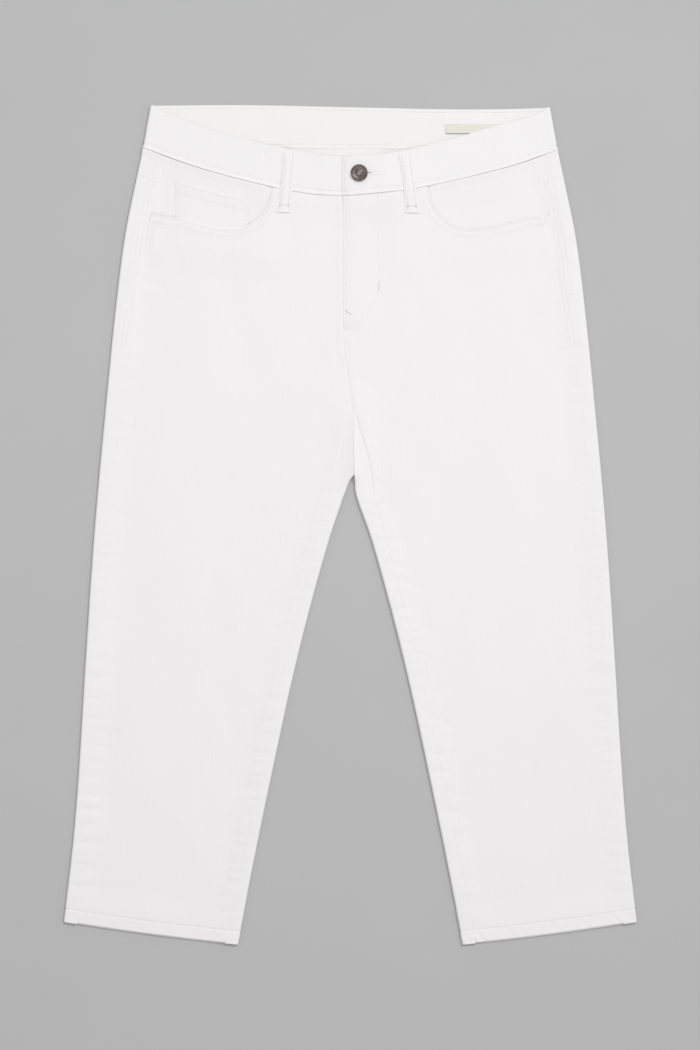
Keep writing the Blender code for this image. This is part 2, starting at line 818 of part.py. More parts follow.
def add_button(name):
    """Metal button: a domed cap with a raised rim, on a shank that stands on the underlap."""
    shank_foot = BAND_FRONT + BAND_CLOTH + GAP
    cap_foot = BAND_LAP + BAND_CLOTH + GAP
    rim = BUTTON_RADIUS - 1.2
    profile = (
        (0.0, cap_foot + BUTTON_DEPTH),
        (rim - 1.0, cap_foot + BUTTON_DEPTH - 0.5),
        (rim, cap_foot + BUTTON_DEPTH - 0.1),
        (BUTTON_RADIUS - 0.3, cap_foot + BUTTON_DEPTH - 0.4),
        (BUTTON_RADIUS, cap_foot + BUTTON_DEPTH - 1.2),
        (BUTTON_RADIUS - 0.4, cap_foot),
        (SHANK_RADIUS, cap_foot),
        (SHANK_RADIUS, shank_foot),
        (0.0, shank_foot),
    )
    points = [(radius * MM, 0.0, height * MM) for radius, height in profile]
    edges = [(k, k + 1) for k in range(len(points) - 1)]
    mesh = bpy.data.meshes.new(name)
    mesh.from_pydata(points, edges, [])
    mesh.materials.append(material("dark_metal", DARK_METAL, 0.35, 0.9))
    made = bpy.data.objects.new(name, mesh)
    spot = place(*BUTTON_AT, 0.0)
    made.location = (spot.x, spot.y, 0.0)
    bpy.context.scene.collection.objects.link(made)
    turned = made.modifiers.new("turned", "SCREW")
    turned.axis = "Z"
    turned.steps = turned.render_steps = 24
    turned.use_merge_vertices = True
    turned.merge_threshold = 0.0001 * MM
    turned.use_smooth_shade = True
    return made


def main():
    for old in list(bpy.data.objects):
        bpy.data.objects.remove(old)
    for side, wearer in ((-1, "right"), (1, "left")):
        add_back_leg(side, f"back_leg_{wearer}")
        add_yoke(side, f"yoke_{wearer}")
        add_front_leg(side, f"front_leg_{wearer}")
        add_facing(side, f"hip_facing_{wearer}")
        add_front_loop(side, f"belt_loop_front_{wearer}")
    add_coin_pocket("coin_pocket")
    add_waistband("waistband")
    add_label("label")
    add_button("button")


main()
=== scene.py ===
import math

import bpy
import numpy as np
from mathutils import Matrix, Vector


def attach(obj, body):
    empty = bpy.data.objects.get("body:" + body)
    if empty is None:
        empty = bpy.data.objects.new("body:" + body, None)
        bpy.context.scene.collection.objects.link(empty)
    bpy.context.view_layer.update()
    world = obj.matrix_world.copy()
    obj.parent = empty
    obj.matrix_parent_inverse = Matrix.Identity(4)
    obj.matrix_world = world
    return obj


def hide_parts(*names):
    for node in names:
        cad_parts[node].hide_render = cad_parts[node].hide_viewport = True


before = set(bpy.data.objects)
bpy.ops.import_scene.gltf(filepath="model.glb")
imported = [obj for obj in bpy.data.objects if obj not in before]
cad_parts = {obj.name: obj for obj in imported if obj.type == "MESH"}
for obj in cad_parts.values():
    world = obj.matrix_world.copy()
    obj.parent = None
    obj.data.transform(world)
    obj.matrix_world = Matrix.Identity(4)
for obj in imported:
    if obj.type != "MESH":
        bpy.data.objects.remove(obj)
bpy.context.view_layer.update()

# White capri pants in stretch denim, buttoned and laid flat, front side up.
#
# Every cloth node gets a finer wall of the same form: the same sizes, tables and functions of height,
# with its seams, topstitching, puckers and creases as relief. Sewing thread is laid on it as small
# rounded stitches. +X is the wearer's left, +Y runs up to the waist, +Z is up. A side is -1 for the
# wearer's right and 1 for the left. Sizes are in millimetres until MM makes them metres.

BODY = "root"
MM = 0.001
UP = np.array((0.0, 0.0, 1.0))

# Cloth and the gaps between pieces
CLOTH = 1.2
HEM_CLOTH = 2.0
FACING_CLOTH = 1.0
BAND_CLOTH = 2.0
LOOP_CLOTH = 1.4
LABEL_CLOTH = 0.8
GAP = 0.3
LAY_GAP = 0.15
SEAM = 0.05  # what shows of a seam between two edges
CLOSE_SEAM = 0.01  # the same at the side seams and inseams, which hardly show

# Heights above the surface
FOLD_RADIUS = 2.4
REST = CLOTH + GAP
EDGE_RISE = 2 * FOLD_RADIUS - CLOTH - REST
BAND_FOLD_RADIUS = 2.8
BAND_FRONT = 2 * BAND_FOLD_RADIUS - BAND_CLOTH
BAND_FACE = BAND_FRONT + BAND_CLOTH
BAND_LAP = BAND_FACE + GAP
LAP_FACE = BAND_LAP + BAND_CLOTH

# Leg and hem
HEM_OUTER = -396.7
HEM_INNER = -419.4
HEM_DEPTH = 13.5
HEM_PEEK = 1.2
HEM_PEEK_REACH = 6.0
HEM_BOW = 1.4
HEM_BOW_REACH = 60.0
CROTCH = (2.7, 113.8)
CROTCH_SOFT = 8.0  # the forms below the crotch end over this height
STRIP_TOP = CROTCH[1] - 2.0

# Fly and button
FLY_END = 207.0
UNDERLAP = 8.0
BAND_END = -8.2
BAND_UNDERLAP = 31.0
BUTTON_AT = (8.8, 350.7)
BUTTON_RADIUS = 8.5
BUTTON_DEPTH = 2.5
SHANK_RADIUS = 2.2
EYE_RADIUS = 2.7
BUTTONHOLE_AT = (8.8, 351.2)
BUTTONHOLE_STITCHED = (21.0, 0.3)  # length from the button's middle, and width of its far end
BUTTONHOLE_OPEN = (13.0, 0.7)
BUTTONHOLE_SLIT = 1.0

# Hip facings and coin pocket
FACING_INNER = 63.0
FACING_LOW = 278.0
FACING_SLOPE = 0.1
COIN_OUTER = (-174.3, 341.8)
COIN_INNER = (-102.3, 322.8)
COIN_TUCK = 5.0
COIN_PRESSED = 0.9  # how far its sewn sides are pressed down
COIN_FACE = 2 * FACING_CLOTH + LAY_GAP

# Belt loops
LOOP_WIDTH = 14.0
LOOP_LENGTH = 63.0
LOOP_WAIST = 0.17
FRONT_LOOPS = {-1: ((-61.0, 374.0), (-66.2, 311.6)), 1: ((55.0, 371.4), (62.2, 311.6))}
LOOP_STEP = 9.0
LOOP_CLEAR = 2.0
LOOP_PRESSED = 1.2  # how far its sewn top is pressed down
LOOP_TACK = 0.115  # share of its length where it is tacked

# Woven label
LABEL_AT = (95.4, 391.2)
LABEL_SIZE = (80.0, 9.4)
LABEL_FACE = BAND_CLOTH + GAP + 1.0
# Width of the painted shadow, a dark brown strip along the label's lower edge
LABEL_PAINTED_SHADOW_WIDTH = 0.35
LABEL_SEWN = 2.0  # distance of its stitches from its ends
LABEL_TURNED_IN = (8.0, 1.0)


class Table:
    """Rows of sizes with named columns, read on a smooth curve along the first column."""

    def __init__(self, columns, *rows):
        self.columns = columns.split()
        self.rows = np.array(rows, float)
        self.keys = self.rows[:, 0]
        steps = np.diff(self.rows, axis=0) / np.diff(self.keys)[:, None]
        both = steps[:-1] * steps[1:]
        total = np.where(both > 0, steps[:-1] + steps[1:], 1.0)
        inner = np.where(both > 0, 2 * both / total, 0.0)
        self.slopes = np.vstack([steps[:1], inner, steps[-1:]])

    def at(self, where, column=None):
        """The named or last column where the first column is at this value, level past the ends."""
        k = self.columns.index(column or self.columns[-1])
        where = np.clip(where, self.keys[0], self.keys[-1])
        i = np.clip(np.searchsorted(self.keys, where, side="right") - 1, 0, len(self.keys) - 2)
        span = self.keys[i + 1] - self.keys[i]
        t = (where - self.keys[i]) / span
        return (
            (2 * t**3 - 3 * t**2 + 1) * self.rows[i, k]
            + (t**3 - 2 * t**2 + t) * span * self.slopes[i, k]
            + (3 * t**2 - 2 * t**3) * self.rows[i + 1, k]
            + (t**3 - t**2) * span * self.slopes[i + 1, k]
        )

    def each(self):
        """The rows, one dictionary of named values each."""
        return [dict(zip(self.columns, row)) for row in self.rows]


OUTLINE = Table(
    "height half_width",
    (-396.7, 286.3), (-315, 277), (-255, 272), (-135, 264.5), (-15, 256.4), (105, 245.7),
    (225, 233.5), (285, 225.8), (345, 213.8), (376, 207.2), (397.2, 203.3), (418.4, 199.6),
)
LEG_SPACE = Table(
    "height middle half_width",
    (-419.4, 0, 112), (-375, 0, 104), (-255, 0, 79.7), (-135, 0, 53.4), (-15, 0, 21.2),
    (24.8, -0.4, 7.6), (34.8, 0.3, 4.5), (44.8, 2.1, 2.2), (51, 3.8, 0), (113.8, 2.7, 0),
)
SIDE_SEAM = Table(
    "height inset",
    (-396.7, 13.5), (-75, 12.5), (45, 13), (105, 15), (165, 18), (225, 21), (275, 22.3),
    (345, 21.3), (376, 20),
)
INSEAM = Table(
    "height inset",
    (-419.4, 13.5), (-75, 13), (-15, 14.5), (20, 17), (45, 18), (68, 14), (90, 8), (111.8, 2.6),
)
CENTRE_FRONT = Table(
    "height across",
    (113.8, 2.7), (130, 0.7), (150, -1.8), (175, -5.3), (200, -7), (335, -7.1),
)
CENTRE_BACK = Table("height across", (107.8, 2.8), (200, 1), (376, 0))
BAND_LOW = Table(
    "across height",
    (-207.2, 375.6), (-185, 367.4), (-160, 358.6), (-130, 349.7), (-95, 340.9), (-60, 333.5),
    (-30, 329.5), (-5, 328.7), (20, 330.6), (55, 334.5), (90, 341.2), (130, 350.9),
    (165, 360.4), (187, 368), (207.2, 375.6),
)
BAND_HIGH = Table(
    "across height",
    (-199.6, 417.8), (-182, 409), (-162, 402), (-140, 393.9), (-100, 383.2), (-65, 375.2),
    (-45, 371.7), (-25, 368.8), (0, 367.8), (25, 369), (45, 372.1), (63, 376), (90, 382.5),
    (120, 391.3), (150, 400.2), (170, 405.4), (185, 409.6), (199.6, 417.8),
)
BAND_BACK_LOW = 375.6
BAND_TOP = Table(
    "across height",
    (-199.6, 417.8), (-108, 418.8), (0, 417.2), (110, 415.6), (160, 416.2), (199.6, 417.8),
)
BAND_REACH = BAND_LOW.keys[-1]
BAND_HIGH_SHARE = BAND_HIGH.keys[-1] / BAND_REACH
POCKET_EDGE = Table(
    "across height",
    (77, 337), (81, 323), (88, 310), (98, 301.5), (112, 295.8), (126, 294.8), (144, 297.7),
    (170, 304.4), (199, 309.5),
)
YOKE_SIDE = 349.5
YOKE_CENTRE = 300.0
YOKE_SEAM = 340.5
YOKE_LINE = np.array((YOKE_SIDE, YOKE_CENTRE, YOKE_SEAM))
SWELLS = Table(
    "across height half_length half_width lean rise",
    (-150, 190, 105, 34, 6, 0.9),
    (-70, 150, 60, 22, -20, 0.7),
    (-170, -60, 120, 30, 4, 1.1),
    (-200, -240, 110, 26, 5, 0.9),
    (-150, -330, 60, 20, 14, 0.6),
    (95, 200, 80, 30, 8, 0.8),
    (165, 80, 110, 30, -7, 1),
    (150, -110, 120, 32, -12, 1.1),
    (215, -220, 90, 24, -4, 0.8),
    (175, -320, 60, 22, -10, 0.7),
)

# Soft creases of the upper layer, placed one by one: a rise below 0 is a trough
CREASES = Table(
    "across height half_length half_width lean rise",
    (-8, 128, 30, 3, 38, -0.14),
    (-24, 98, 40, 4.4, 26, -0.18),
    (-32, 66, 30, 4, 14, -0.12),
    (-44, 30, 26, 4.4, 24, -0.12),
    (18, 130, 30, 3.4, -44, -0.18),
    (30, 98, 38, 4, -30, -0.22),
    (40, 62, 34, 4, -20, -0.16),
    (52, 22, 24, 4.4, -26, -0.14),
    (-176, 268, 42, 6, 28, -0.4),
    (-196, 240, 30, 5, 62, -0.35),
    (182, 262, 40, 6, -30, -0.4),
    (204, 214, 28, 5, -66, -0.35),
    (-226, 96, 15, 5, 74, -0.25),
    (-236, 12, 17, 5.5, 82, -0.28),
    (-244, -92, 15, 5, 70, -0.3),
    (-251, -206, 19, 5, 78, -0.34),
    (-257, -286, 17, 5, 84, -0.34),
    (226, 118, 15, 5, -72, -0.22),
    (240, -24, 16, 5, -80, -0.26),
    (248, -148, 18, 5.5, -76, -0.3),
    (256, -262, 16, 5, -84, -0.3),
    (262, -338, 14, 4.5, -70, -0.34),
    (-84, -176, 20, 5, -62, -0.4),
    (-100, -262, 22, 5, -70, -0.4),
    (90, -196, 20, 5, 64, -0.4),
    (104, -288, 22, 5, 72, -0.4),
    (-118, 232, 60, 10, 8, -0.3),
    (128, 236, 66, 10, -6, -0.3),
    (-128, -150, 110, 12, 5, -0.35),
    (116, -40, 120, 12, -9, -0.35),
)

# Short creases on and beside the side seam's strip: puckers of the lower leg, pulls at the yoke's end,
# at the waistband and beside the pocket's end
SIDE_CREASES = Table(
    "across height half_length half_width lean rise",
    (-257, -222, 11, 3.2, 84, -0.3),
    (-258, -239, 10, 3, 92, -0.35),
    (-259, -253, 12, 3.4, 86, -0.4),
    (-260, -270, 10, 3, 80, -0.35),
    (-263, -300, 12, 3.6, 88, -0.45),
    (-264.5, -318, 10, 3, 94, -0.35),
    (-267, -340, 12, 3.6, 84, -0.45),
    (-268.5, -360, 10, 3.2, 90, -0.4),
    (-270, -375, 9, 3, 86, -0.35),
    (265.5, -330, 8, 3, -84, -0.4),
    (271, -262, 4, 2.2, -88, -0.25),
    (276, -300, 4, 2.4, -84, -0.3),
    (279, -352, 4.5, 2.4, -90, -0.3),
    (-202, 369.5, 4, 1.6, 70, -0.4),
    (-199, 363.8, 6, 1.2, 86, -0.16),
    (-199.5, 359.6, 6, 1.2, 92, -0.2),
    (-200, 355.3, 7, 1.2, 88, -0.18),
    (-203.4, 347.6, 2, 0.8, 40, -0.2),
    (-201.8, 338.6, 3.5, 0.8, 80, -0.25),
    (-188.3, 352.8, 11, 1.2, 3, -0.3),
    (-184.8, 352.8, 11, 1.5, 3, 0.15),
    (201, 359.3, 6, 1.2, -88, -0.2),
    (201.5, 355.2, 6, 1.2, -92, -0.18),
    (197.6, 345.4, 4, 0.8, -72, -0.4),
)

# How far the shapes of the upper layer reach from what lifts it
FOLD_FLAT = 4.0
FOLD_REACH = 30.0
WAIST_REACH = 34.0
HEM_REACH = 30.0
STEP_REACH = 12.0
STEP_CLEAR = 9.0
LIFT_REACH = 36.0
FLY_LIFT_REACH = 20.0
LAP_REACH = 34.0
LAP_SHARE = 0.85
LAP_FADE = 60.0
WAIST_SHARE = 0.85
HEM_SHARE = 0.78
LEAN = 0.005
LEAN_FROM = 250.0
LEAN_OVER = 100.0

# How far a piece rises to meet its neighbour, or is pressed down
MEET_REACH = 9.0
FRONT_MEET = -0.6
FACING_MEET = 1.0
FACING_SIDE_MEET = 0.4
FACING_SIDE_MEET_FROM = 312.0
POCKET_END_PRESSED = 0.9
YOKE_MEET = 0.7
YOKE_INSIDE = 0.6

# Topstitching: distance of a row from its seam or edge, and where rows start and end
NEAR_ROW = 1.9
FAR_ROW = 7.4
SIDE_ROWS = (4.6, 9.4)
SIDE_ALLOWANCE = 14.0
SIDE_ROWS_END = 180.0
RIB_PITCH = 3.2
RIB_SPAN = (205.0, 312.0)
PRESSED_SPAN = (222.0, 330.0)
CROTCH_ROWS = (NEAR_ROW, 5.2)
CROTCH_ROWS_TOP = 190.0
FLY_ROW = 2.6
FLY_ROW_SPAN = (CROTCH_ROWS_TOP + 6.0, 327.0)
BAND_ROW = 4.4
BAND_TOP_ROW = 3.2
BAND_DEPTH = 42.0
COIN_SECOND_ROW = 11.0
LOOP_ROW = 2.5
FLY_STITCH = ((26.7, 331.0), (28.3, 290.0), (29.2, 269.8), (28.8, 247.0), (27.4, 232.0), (23.2, 220.8),
              (15.7, 209.8), (6.7, 200.8), (-3.5, 194.6))
FLY_TACKS = (((28.8, 243.0), (28.2, 234.0)), ((-4.8, 214.5), (1.5, 210.0)))
POCKET_TACK = ((198.0, 308.4), (197.2, 299.6), (193.8, 306.8), (191.4, 298.6), (188.8, 305.0),
               (186.0, 298.0))
FRONT_HEM = (127.5, 271.0)
STRIP_HEMS = ((114.5, 124.0), (275.0, 283.5))
INSEAM_ROW_SPAN = (-404.0, 106.0)
POCKET_ROWS_END = 197.0
STRIP_WIDTH = 26.0
ROW_CLEAR = 1.5  # how far a row keeps from the seam it runs up to
WAIST_AT_FRONT = 330.0  # height of the waistband's seam at the centre front
WAIST_AT_SIDE = 362.0  # height just below the waistband's seam at the side

# Relief of the cloth
LEDGE_SOFT = 1.6
WAVES = 14

# Sewing thread
STITCH_PITCH = 3.1
STITCH_LENGTH = 2.5
THREAD_RADIUS = 0.27
ROW_ABOVE = 0.12
TACK_ABOVE = 0.1
TACK_WIDTH = 2.4
TACK_PITCH = 0.62
TACK_THREAD = 0.36
BUTTONHOLE_PITCH = 0.55

# How far the edges are rolled
HEM_RADIUS = 0.9
SEAM_RADIUS = 0.14
FLAT_SEAM_RADIUS = 0.02
POCKET_EDGE_RADIUS = 0.1
SHARP = math.radians(65)

# Where the legs' inner folds press against each other below the crotch
TIGHT_POWER = 0.03
TIGHT_REACH = 3.0
FOLDS_MEET = 0.22
FOLDS_MEET_SPAN = (36.0, 140.0)

# Mesh divisions
EDGE_STEPS = (0.0, 0.12, 0.35, 0.7, 1.2)
EDGE = EDGE_STEPS[-1]
FINE = 1.35
ROW_STEP = 1.75
HEM_STEP = 0.85
COARSE = 4.2
PATH_STEP = 0.8
ROW_POINTS = 1.5
LEG_LENGTH = STRIP_TOP - (HEM_OUTER + HEM_INNER) / 2
HIP_LENGTH = 215.0
HIP_FINE_FROM = HIP_LENGTH - 11.0
SEAT_RIBS = 80.0
RIB_STEP = 0.75
FOLD_TURNS = np.linspace(0.0, math.pi, 13)
SIDE_STRIP_SHARES = (0.0, 0.01, 0.03, 0.06) + tuple(np.linspace(0.1, 1.0, 15)[:-1])
INNER_STRIP_SHARES = (0.0, 0.012, 0.03, 0.06, 0.1, 0.17, 0.25, 0.33, 0.41, 0.49, 0.57, 0.65, 0.73, 0.81, 0.9)
UNDER_SHARES = np.linspace(0.0, 1.0, 14)[1:-1]
SEAT_SHARES = np.concatenate([UNDER_SHARES, (0.94, 0.965, 0.98, 0.99, 0.995, 1.0)])


def smooth(t):
    """0 below 0, 1 above 1, and an even S between."""
    t = np.clip(t, 0.0, 1.0)
    return t * t * (3 - 2 * t)


def fade(t):
    """1 below 0, 0 above 1, and an even S between."""
    return 1 - smooth(t)


def bell(distance, half_width):
    """1 at distance 0, falling softly to 0 on both sides."""
    return np.exp(-((distance / half_width) ** 2))


def between(value, span, soft):
    """1 inside a span of values, falling softly to 0 at its ends."""
    return smooth((value - span[0]) / soft) * fade((value - span[1] + soft) / soft)


def blend(a, b, t):
    return a + (b - a) * t


def unit(vectors):
    return vectors / np.linalg.norm(vectors, axis=-1, keepdims=True)


def steps_between(start, end, step):
    """Positions from start to before end, about a step apart."""
    count = max(1, round((end - start) / step))
    return list(np.linspace(start, end, count + 1)[:-1])


def graded(length, low_fine, high_fine, fine=FINE, coarse=COARSE):
    """Shares of a length from 0 to 1: a rolled edge, a fine stretch, a coarse one, and the same back."""
    places = list(EDGE_STEPS[:-1])
    places += steps_between(EDGE, low_fine, fine)
    places += steps_between(low_fine, length - high_fine, coarse)
    places += steps_between(length - high_fine, length - EDGE, fine)
    return np.array(places + [length - step for step in EDGE_STEPS[::-1]]) / length


def lengths(path):
    """Distance of each point of a path from its start, along the path."""
    return np.concatenate([[0.0], np.cumsum(np.linalg.norm(np.diff(path, axis=0), axis=1))])


def pick(values, at, where):
    """Rows of values that are known at some distances, read at others."""
    return np.stack([np.interp(where, at, column) for column in values.T], axis=-1)


def on_path(path, shares):
    """Points at these shares of a path's length."""
    at = lengths(path)
    return pick(path, at, shares * at[-1])


def path_of(points):
    """A dense smooth path through a few plan points."""
    at = lengths(points)
    curve = Table("at x y", *np.column_stack([at, points]))
    where = np.linspace(0.0, at[-1], int(at[-1] / PATH_STEP))
    return np.column_stack([curve.at(where, "x"), curve.at(where, "y")])


def path_distance(x, y, path):
    """Distance of each place from a path."""
    nearest = np.full(np.shape(x), np.inf)
    for a, b in zip(path[:-1], path[1:]):
        edge = b - a
        share = ((x - a[0]) * edge[0] + (y - a[1]) * edge[1]) / (edge @ edge)
        share = np.clip(share, 0.0, 1.0)
        nearest = np.minimum(nearest, np.hypot(x - a[0] - share * edge[0], y - a[1] - share * edge[1]))
    return nearest


# ---------------------------------------------------------------- places in plan


def facing_low(across):
    return FACING_LOW + FACING_SLOPE * (across - FACING_INNER)


def hem_height(across):
    """Height of the hem's edge, which slants down to the inner corner."""
    outer, inner = OUTLINE.rows[0, 1], LEG_SPACE.rows[0, 2]
    return blend(HEM_INNER, HEM_OUTER, (across - inner) / (outer - inner))


def above_hem(x, y):
    return y - hem_height(np.abs(x))


def below_band(x, y):
    return BAND_LOW.at(x) - y


def below_crotch(y):
    return fade((y - CROTCH[1] + CROTCH_SOFT) / CROTCH_SOFT)


def beside_leg_space(x, y):
    return np.abs(x - LEG_SPACE.at(y, "middle")) - LEG_SPACE.at(y)


def inseam_distance(x, y):
    """Distance from the inseam, above 0 on the front leg."""
    return beside_leg_space(x, y) - INSEAM.at(y)


def seam_across(y):
    """How far the side seam lies from the middle line."""
    return OUTLINE.at(y) - SIDE_SEAM.at(y)


def seam_distance(x, y):
    """Distance from the side seam, above 0 on the front's side and below 0 on the strip's."""
    return seam_across(y) - np.abs(x)


def fly_side(x, y):
    """Distance from the centre front seam, above 0 on the wearer's left."""
    return x - CENTRE_FRONT.at(y)


def pocket_path(every=1):
    """Plan path of the wearer's left pocket edge, from the waistband to the side seam."""
    x = np.linspace(POCKET_EDGE.keys[0], POCKET_EDGE.keys[-1], 160)[::every]
    return np.column_stack([x, POCKET_EDGE.at(x)])


def pocket_distance(x, y):
    return path_distance(np.abs(x), y, pocket_path(3))


def toward_side(across):
    """0 on the upright part of a pocket's edge and 1 on the part that runs on to the side seam."""
    return smooth((across - 84.0) / 18.0)


def place(x, y, z):
    """Points with the waist leaning a little and the hems bowed."""
    x, y, z = np.broadcast_arrays(x, y, z)
    outer, inner = OUTLINE.rows[0, 1], LEG_SPACE.rows[0, 2]
    share = np.clip((np.abs(x) - inner) / (outer - inner), 0.0, 1.0)
    bow = HEM_BOW * 4 * share * (1 - share) * fade(above_hem(x, y) / HEM_BOW_REACH)
    lean = LEAN * x * smooth((y - LEAN_FROM) / LEAN_OVER)
    return np.stack([x, y - lean - bow, z], axis=-1)


# ---------------------------------------------------------------- heights of the laid cloth


def soft_forms(table, x, y):
    """Sum of a table's long soft forms at these places."""
    rise = np.zeros(np.broadcast(x, y).shape)
    for one in table.each():
        turn = math.radians(one["lean"])
        dx, dy = x - one["across"], y - one["height"]
        along = (dy * math.cos(turn) - dx * math.sin(turn)) / one["half_length"]
        beside = (dx * math.cos(turn) + dy * math.sin(turn)) / one["half_width"]
        rise += one["rise"] * np.exp(-along**2 - beside**2)
    return rise


def upper_lay(x, y):
    """Height of the underside of the upper layer where only one layer lies there."""
    from_crotch = np.hypot(x - CROTCH[0], y - CROTCH[1])
    from_inner = np.where(y < CROTCH[1], beside_leg_space(x, y), from_crotch)
    flat = (
        smooth((OUTLINE.at(y) - np.abs(x) - FOLD_FLAT) / FOLD_REACH)
        * smooth((from_inner - FOLD_FLAT) / FOLD_REACH)
        * (1 - WAIST_SHARE * fade(below_band(x, y) / WAIST_REACH))
        * (1 - HEM_SHARE * fade((above_hem(x, y) - HEM_DEPTH) / HEM_REACH))
    )
    return REST + EDGE_RISE * (1 - flat) + soft_forms(SWELLS, x, y) * flat


def over(distance):
    """1 over a piece beneath, from this distance inside its edge on, falling to 0 past the edge."""
    return smooth((distance + STEP_CLEAR + LIFT_REACH) / LIFT_REACH)


def over_facing(x, y):
    across = np.abs(x)
    return over(across - FACING_INNER) * over(y - facing_low(across))


def over_coin_pocket(x, y):
    low = facing_low(np.abs(x)) + COIN_TUCK
    return over(x - COIN_OUTER[0]) * over(COIN_INNER[0] - x) * over(y - low)


def over_underlap(x, y):
    """1 where the fly's edge laps over the other front."""
    past = fly_side(x, y) - UNDERLAP
    upward = smooth((y - FLY_END + 1.0 + FLY_LIFT_REACH) / FLY_LIFT_REACH)
    return fade((past - 1.0) / LIFT_REACH) * upward


def band_lap(x):
    """How far the waistband's lap is raised over its underlap."""
    return (BAND_LAP - BAND_FRONT) * fade((x - BAND_UNDERLAP - 1.0) / LAP_REACH)


def front_top(side, x, y):
    """Height of a front leg's outer face."""
    lift = (FACING_CLOTH + LAY_GAP) * over_facing(x, y)
    if side < 0:
        lift = lift + (FACING_CLOTH + LAY_GAP) * over_coin_pocket(x, y)
    else:
        under_lap = LAP_SHARE * band_lap(x) * fade(below_band(x, y) / LAP_FADE)
        lift = lift + np.maximum((CLOTH + LAY_GAP) * over_underlap(x, y), under_lap)
    return upper_lay(x, y) + lift + CLOTH


def body_top(x, y):
    """Height of the back leg's and yoke's outer face where they reach the upper side."""
    return upper_lay(x, y) + CLOTH


# ---------------------------------------------------------------- relief of seams and creases


def groove(distance, depth, half_width=0.9):
    """The trough that a seam or a row of stitches pulls into the cloth."""
    return -depth * bell(distance, half_width)


def grooves(distance, rows, depth=0.35):
    """The troughs of several rows."""
    return sum(groove(distance - row, depth) for row in rows)


def ledge(distance, height, width):
    """The step of a seam allowance that lies under the cloth beside its seam."""
    return height * fade((distance - width) / LEDGE_SOFT)


def puckers(distance, along, start, end, seed, spacing, reach, depth):
    """Short uneven troughs that cross a seam at right angles, drawn up by its stitches."""
    draw = np.random.default_rng(seed)
    rise = np.zeros(np.broadcast(distance, along).shape)
    at = start
    while at < end:
        at += spacing * draw.uniform(0.5, 1.6)
        length = reach * draw.uniform(0.5, 1.3)
        half_width = spacing * draw.uniform(0.16, 0.3)
        lean = draw.uniform(-0.35, 0.35)
        low = depth * draw.uniform(0.35, 1.0)
        beside = (along - at - lean * np.abs(distance)) / half_width
        rise -= low * (bell(beside, 1.0) - 0.4 * bell(np.abs(beside) - 1.9, 1.0)) * bell(distance, length)
    return rise


def unevenness(x, y, seed=5, rise=0.1):
    """Faint long waves that keep a laid cloth from looking pressed."""
    draw = np.random.default_rng(seed)
    total = np.zeros(np.broadcast(x, y).shape)
    for _ in range(WAVES):
        length = draw.uniform(22.0, 90.0)
        turn = draw.normal(0.0, 0.5)
        phase = draw.uniform(0.0, 2 * math.pi)
        total += np.sin((x * math.cos(turn) + y * math.sin(turn)) * 2 * math.pi / length + phase)
    return rise * total / math.sqrt(WAVES)


def side_relief(side, x, y):
    """Puckers and the side seam's valley, on both of its sides."""
    distance = seam_distance(x, y)
    seed = 20 if side > 0 else 40
    rise = groove(distance, 0.07, 1.3)
    rise += puckers(distance, y, -396.0, 376.0, seed, 9.5, 10.0, 0.2)
    low_down = smooth((60.0 - y) / 160.0)
    rise += puckers(distance, y, -396.0, 150.0, seed + 1, 21.0, 17.0, 0.36) * low_down
    return rise + soft_forms(SIDE_CREASES, x, y)


def strip_relief(side, x, y):
    """The side strip's allowance, its two rows on the hip, and the ribs that their stitches draw up."""
    beyond = -seam_distance(x, y)
    near, far = SIDE_ROWS
    on_hip = smooth((y - SIDE_ROWS_END + 4.0) / 4.0)
    rise = (ledge(beyond, 0.3, SIDE_ALLOWANCE) + grooves(beyond, SIDE_ROWS, 0.2)) * on_hip
    drawn = bell(beyond - near, 2.4) + bell(beyond - far - 2.2, 2.8)
    wander = 1.3 * np.sin(y / 9.7 + side) + 0.9 * np.sin(y / 23.0)
    ribs = np.cos(2 * math.pi * (y + 0.25 * beyond) / RIB_PITCH + wander)
    rise += 0.14 * ribs * drawn * between(y, RIB_SPAN, 14.0)
    if side > 0:
        from_allowance = beyond - SIDE_ALLOWANCE
        pressed = groove(from_allowance, 0.34) + 0.16 * bell(np.abs(from_allowance) - 2.2, 1.2)
        rise += pressed * between(y, PRESSED_SPAN, 14.0)
    return rise


def inseam_relief(side, x, y):
    """The inseam's valley and its puckers, which end below the crotch."""
    distance = inseam_distance(x, y)
    seed = 60 if side > 0 else 80
    drawn = puckers(distance, y, -419.0, 108.0, seed, 5.6, 10.0, 0.24)
    drawn += puckers(distance, y, -419.0, 90.0, seed + 1, 17.0, 16.0, 0.36)
    drawn += puckers(distance - FAR_ROW, y, -419.0, 100.0, seed + 2, 4.6, 5.0, 0.2)
    rise = groove(distance, 0.14, 1.1) + drawn * fade((y - 30.0) / 40.0)
    if side > 0:
        rise += groove(distance, 0.5, 1.0) * smooth((y - 30.0) / 20.0)
    return rise * below_crotch(y)


def folds_meet(x, y):
    """How far the legs' inner folds stand up where they press against each other below the crotch."""
    inset = INSEAM.at(y)
    share = np.clip(1 - beside_leg_space(x, y) / inset, 0.0, 1.0)
    return FOLDS_MEET * inset * share**2 * between(y, FOLDS_MEET_SPAN, 20.0)


def hem_relief(x, y):
    """The hem's stitched line, and the diagonal ripples between it and the edge."""
    from_edge = above_hem(x, y)
    from_row = from_edge - HEM_DEPTH
    rise = groove(from_row, 0.55, 0.8)
    slanted = np.abs(x) + 0.9 * from_edge
    inside = smooth(from_edge / 3.0) * fade((from_row + 4.0) / 4.0)
    draw = np.random.default_rng(7)
    for length in (7.5, 10.5, 15.0):
        rise += 0.1 * np.sin(slanted * 2 * math.pi / length + draw.uniform(0, 6)) * inside
    return rise + puckers(from_row, np.abs(x), 100.0, 290.0, 8, 8.0, 8.0, 0.25)


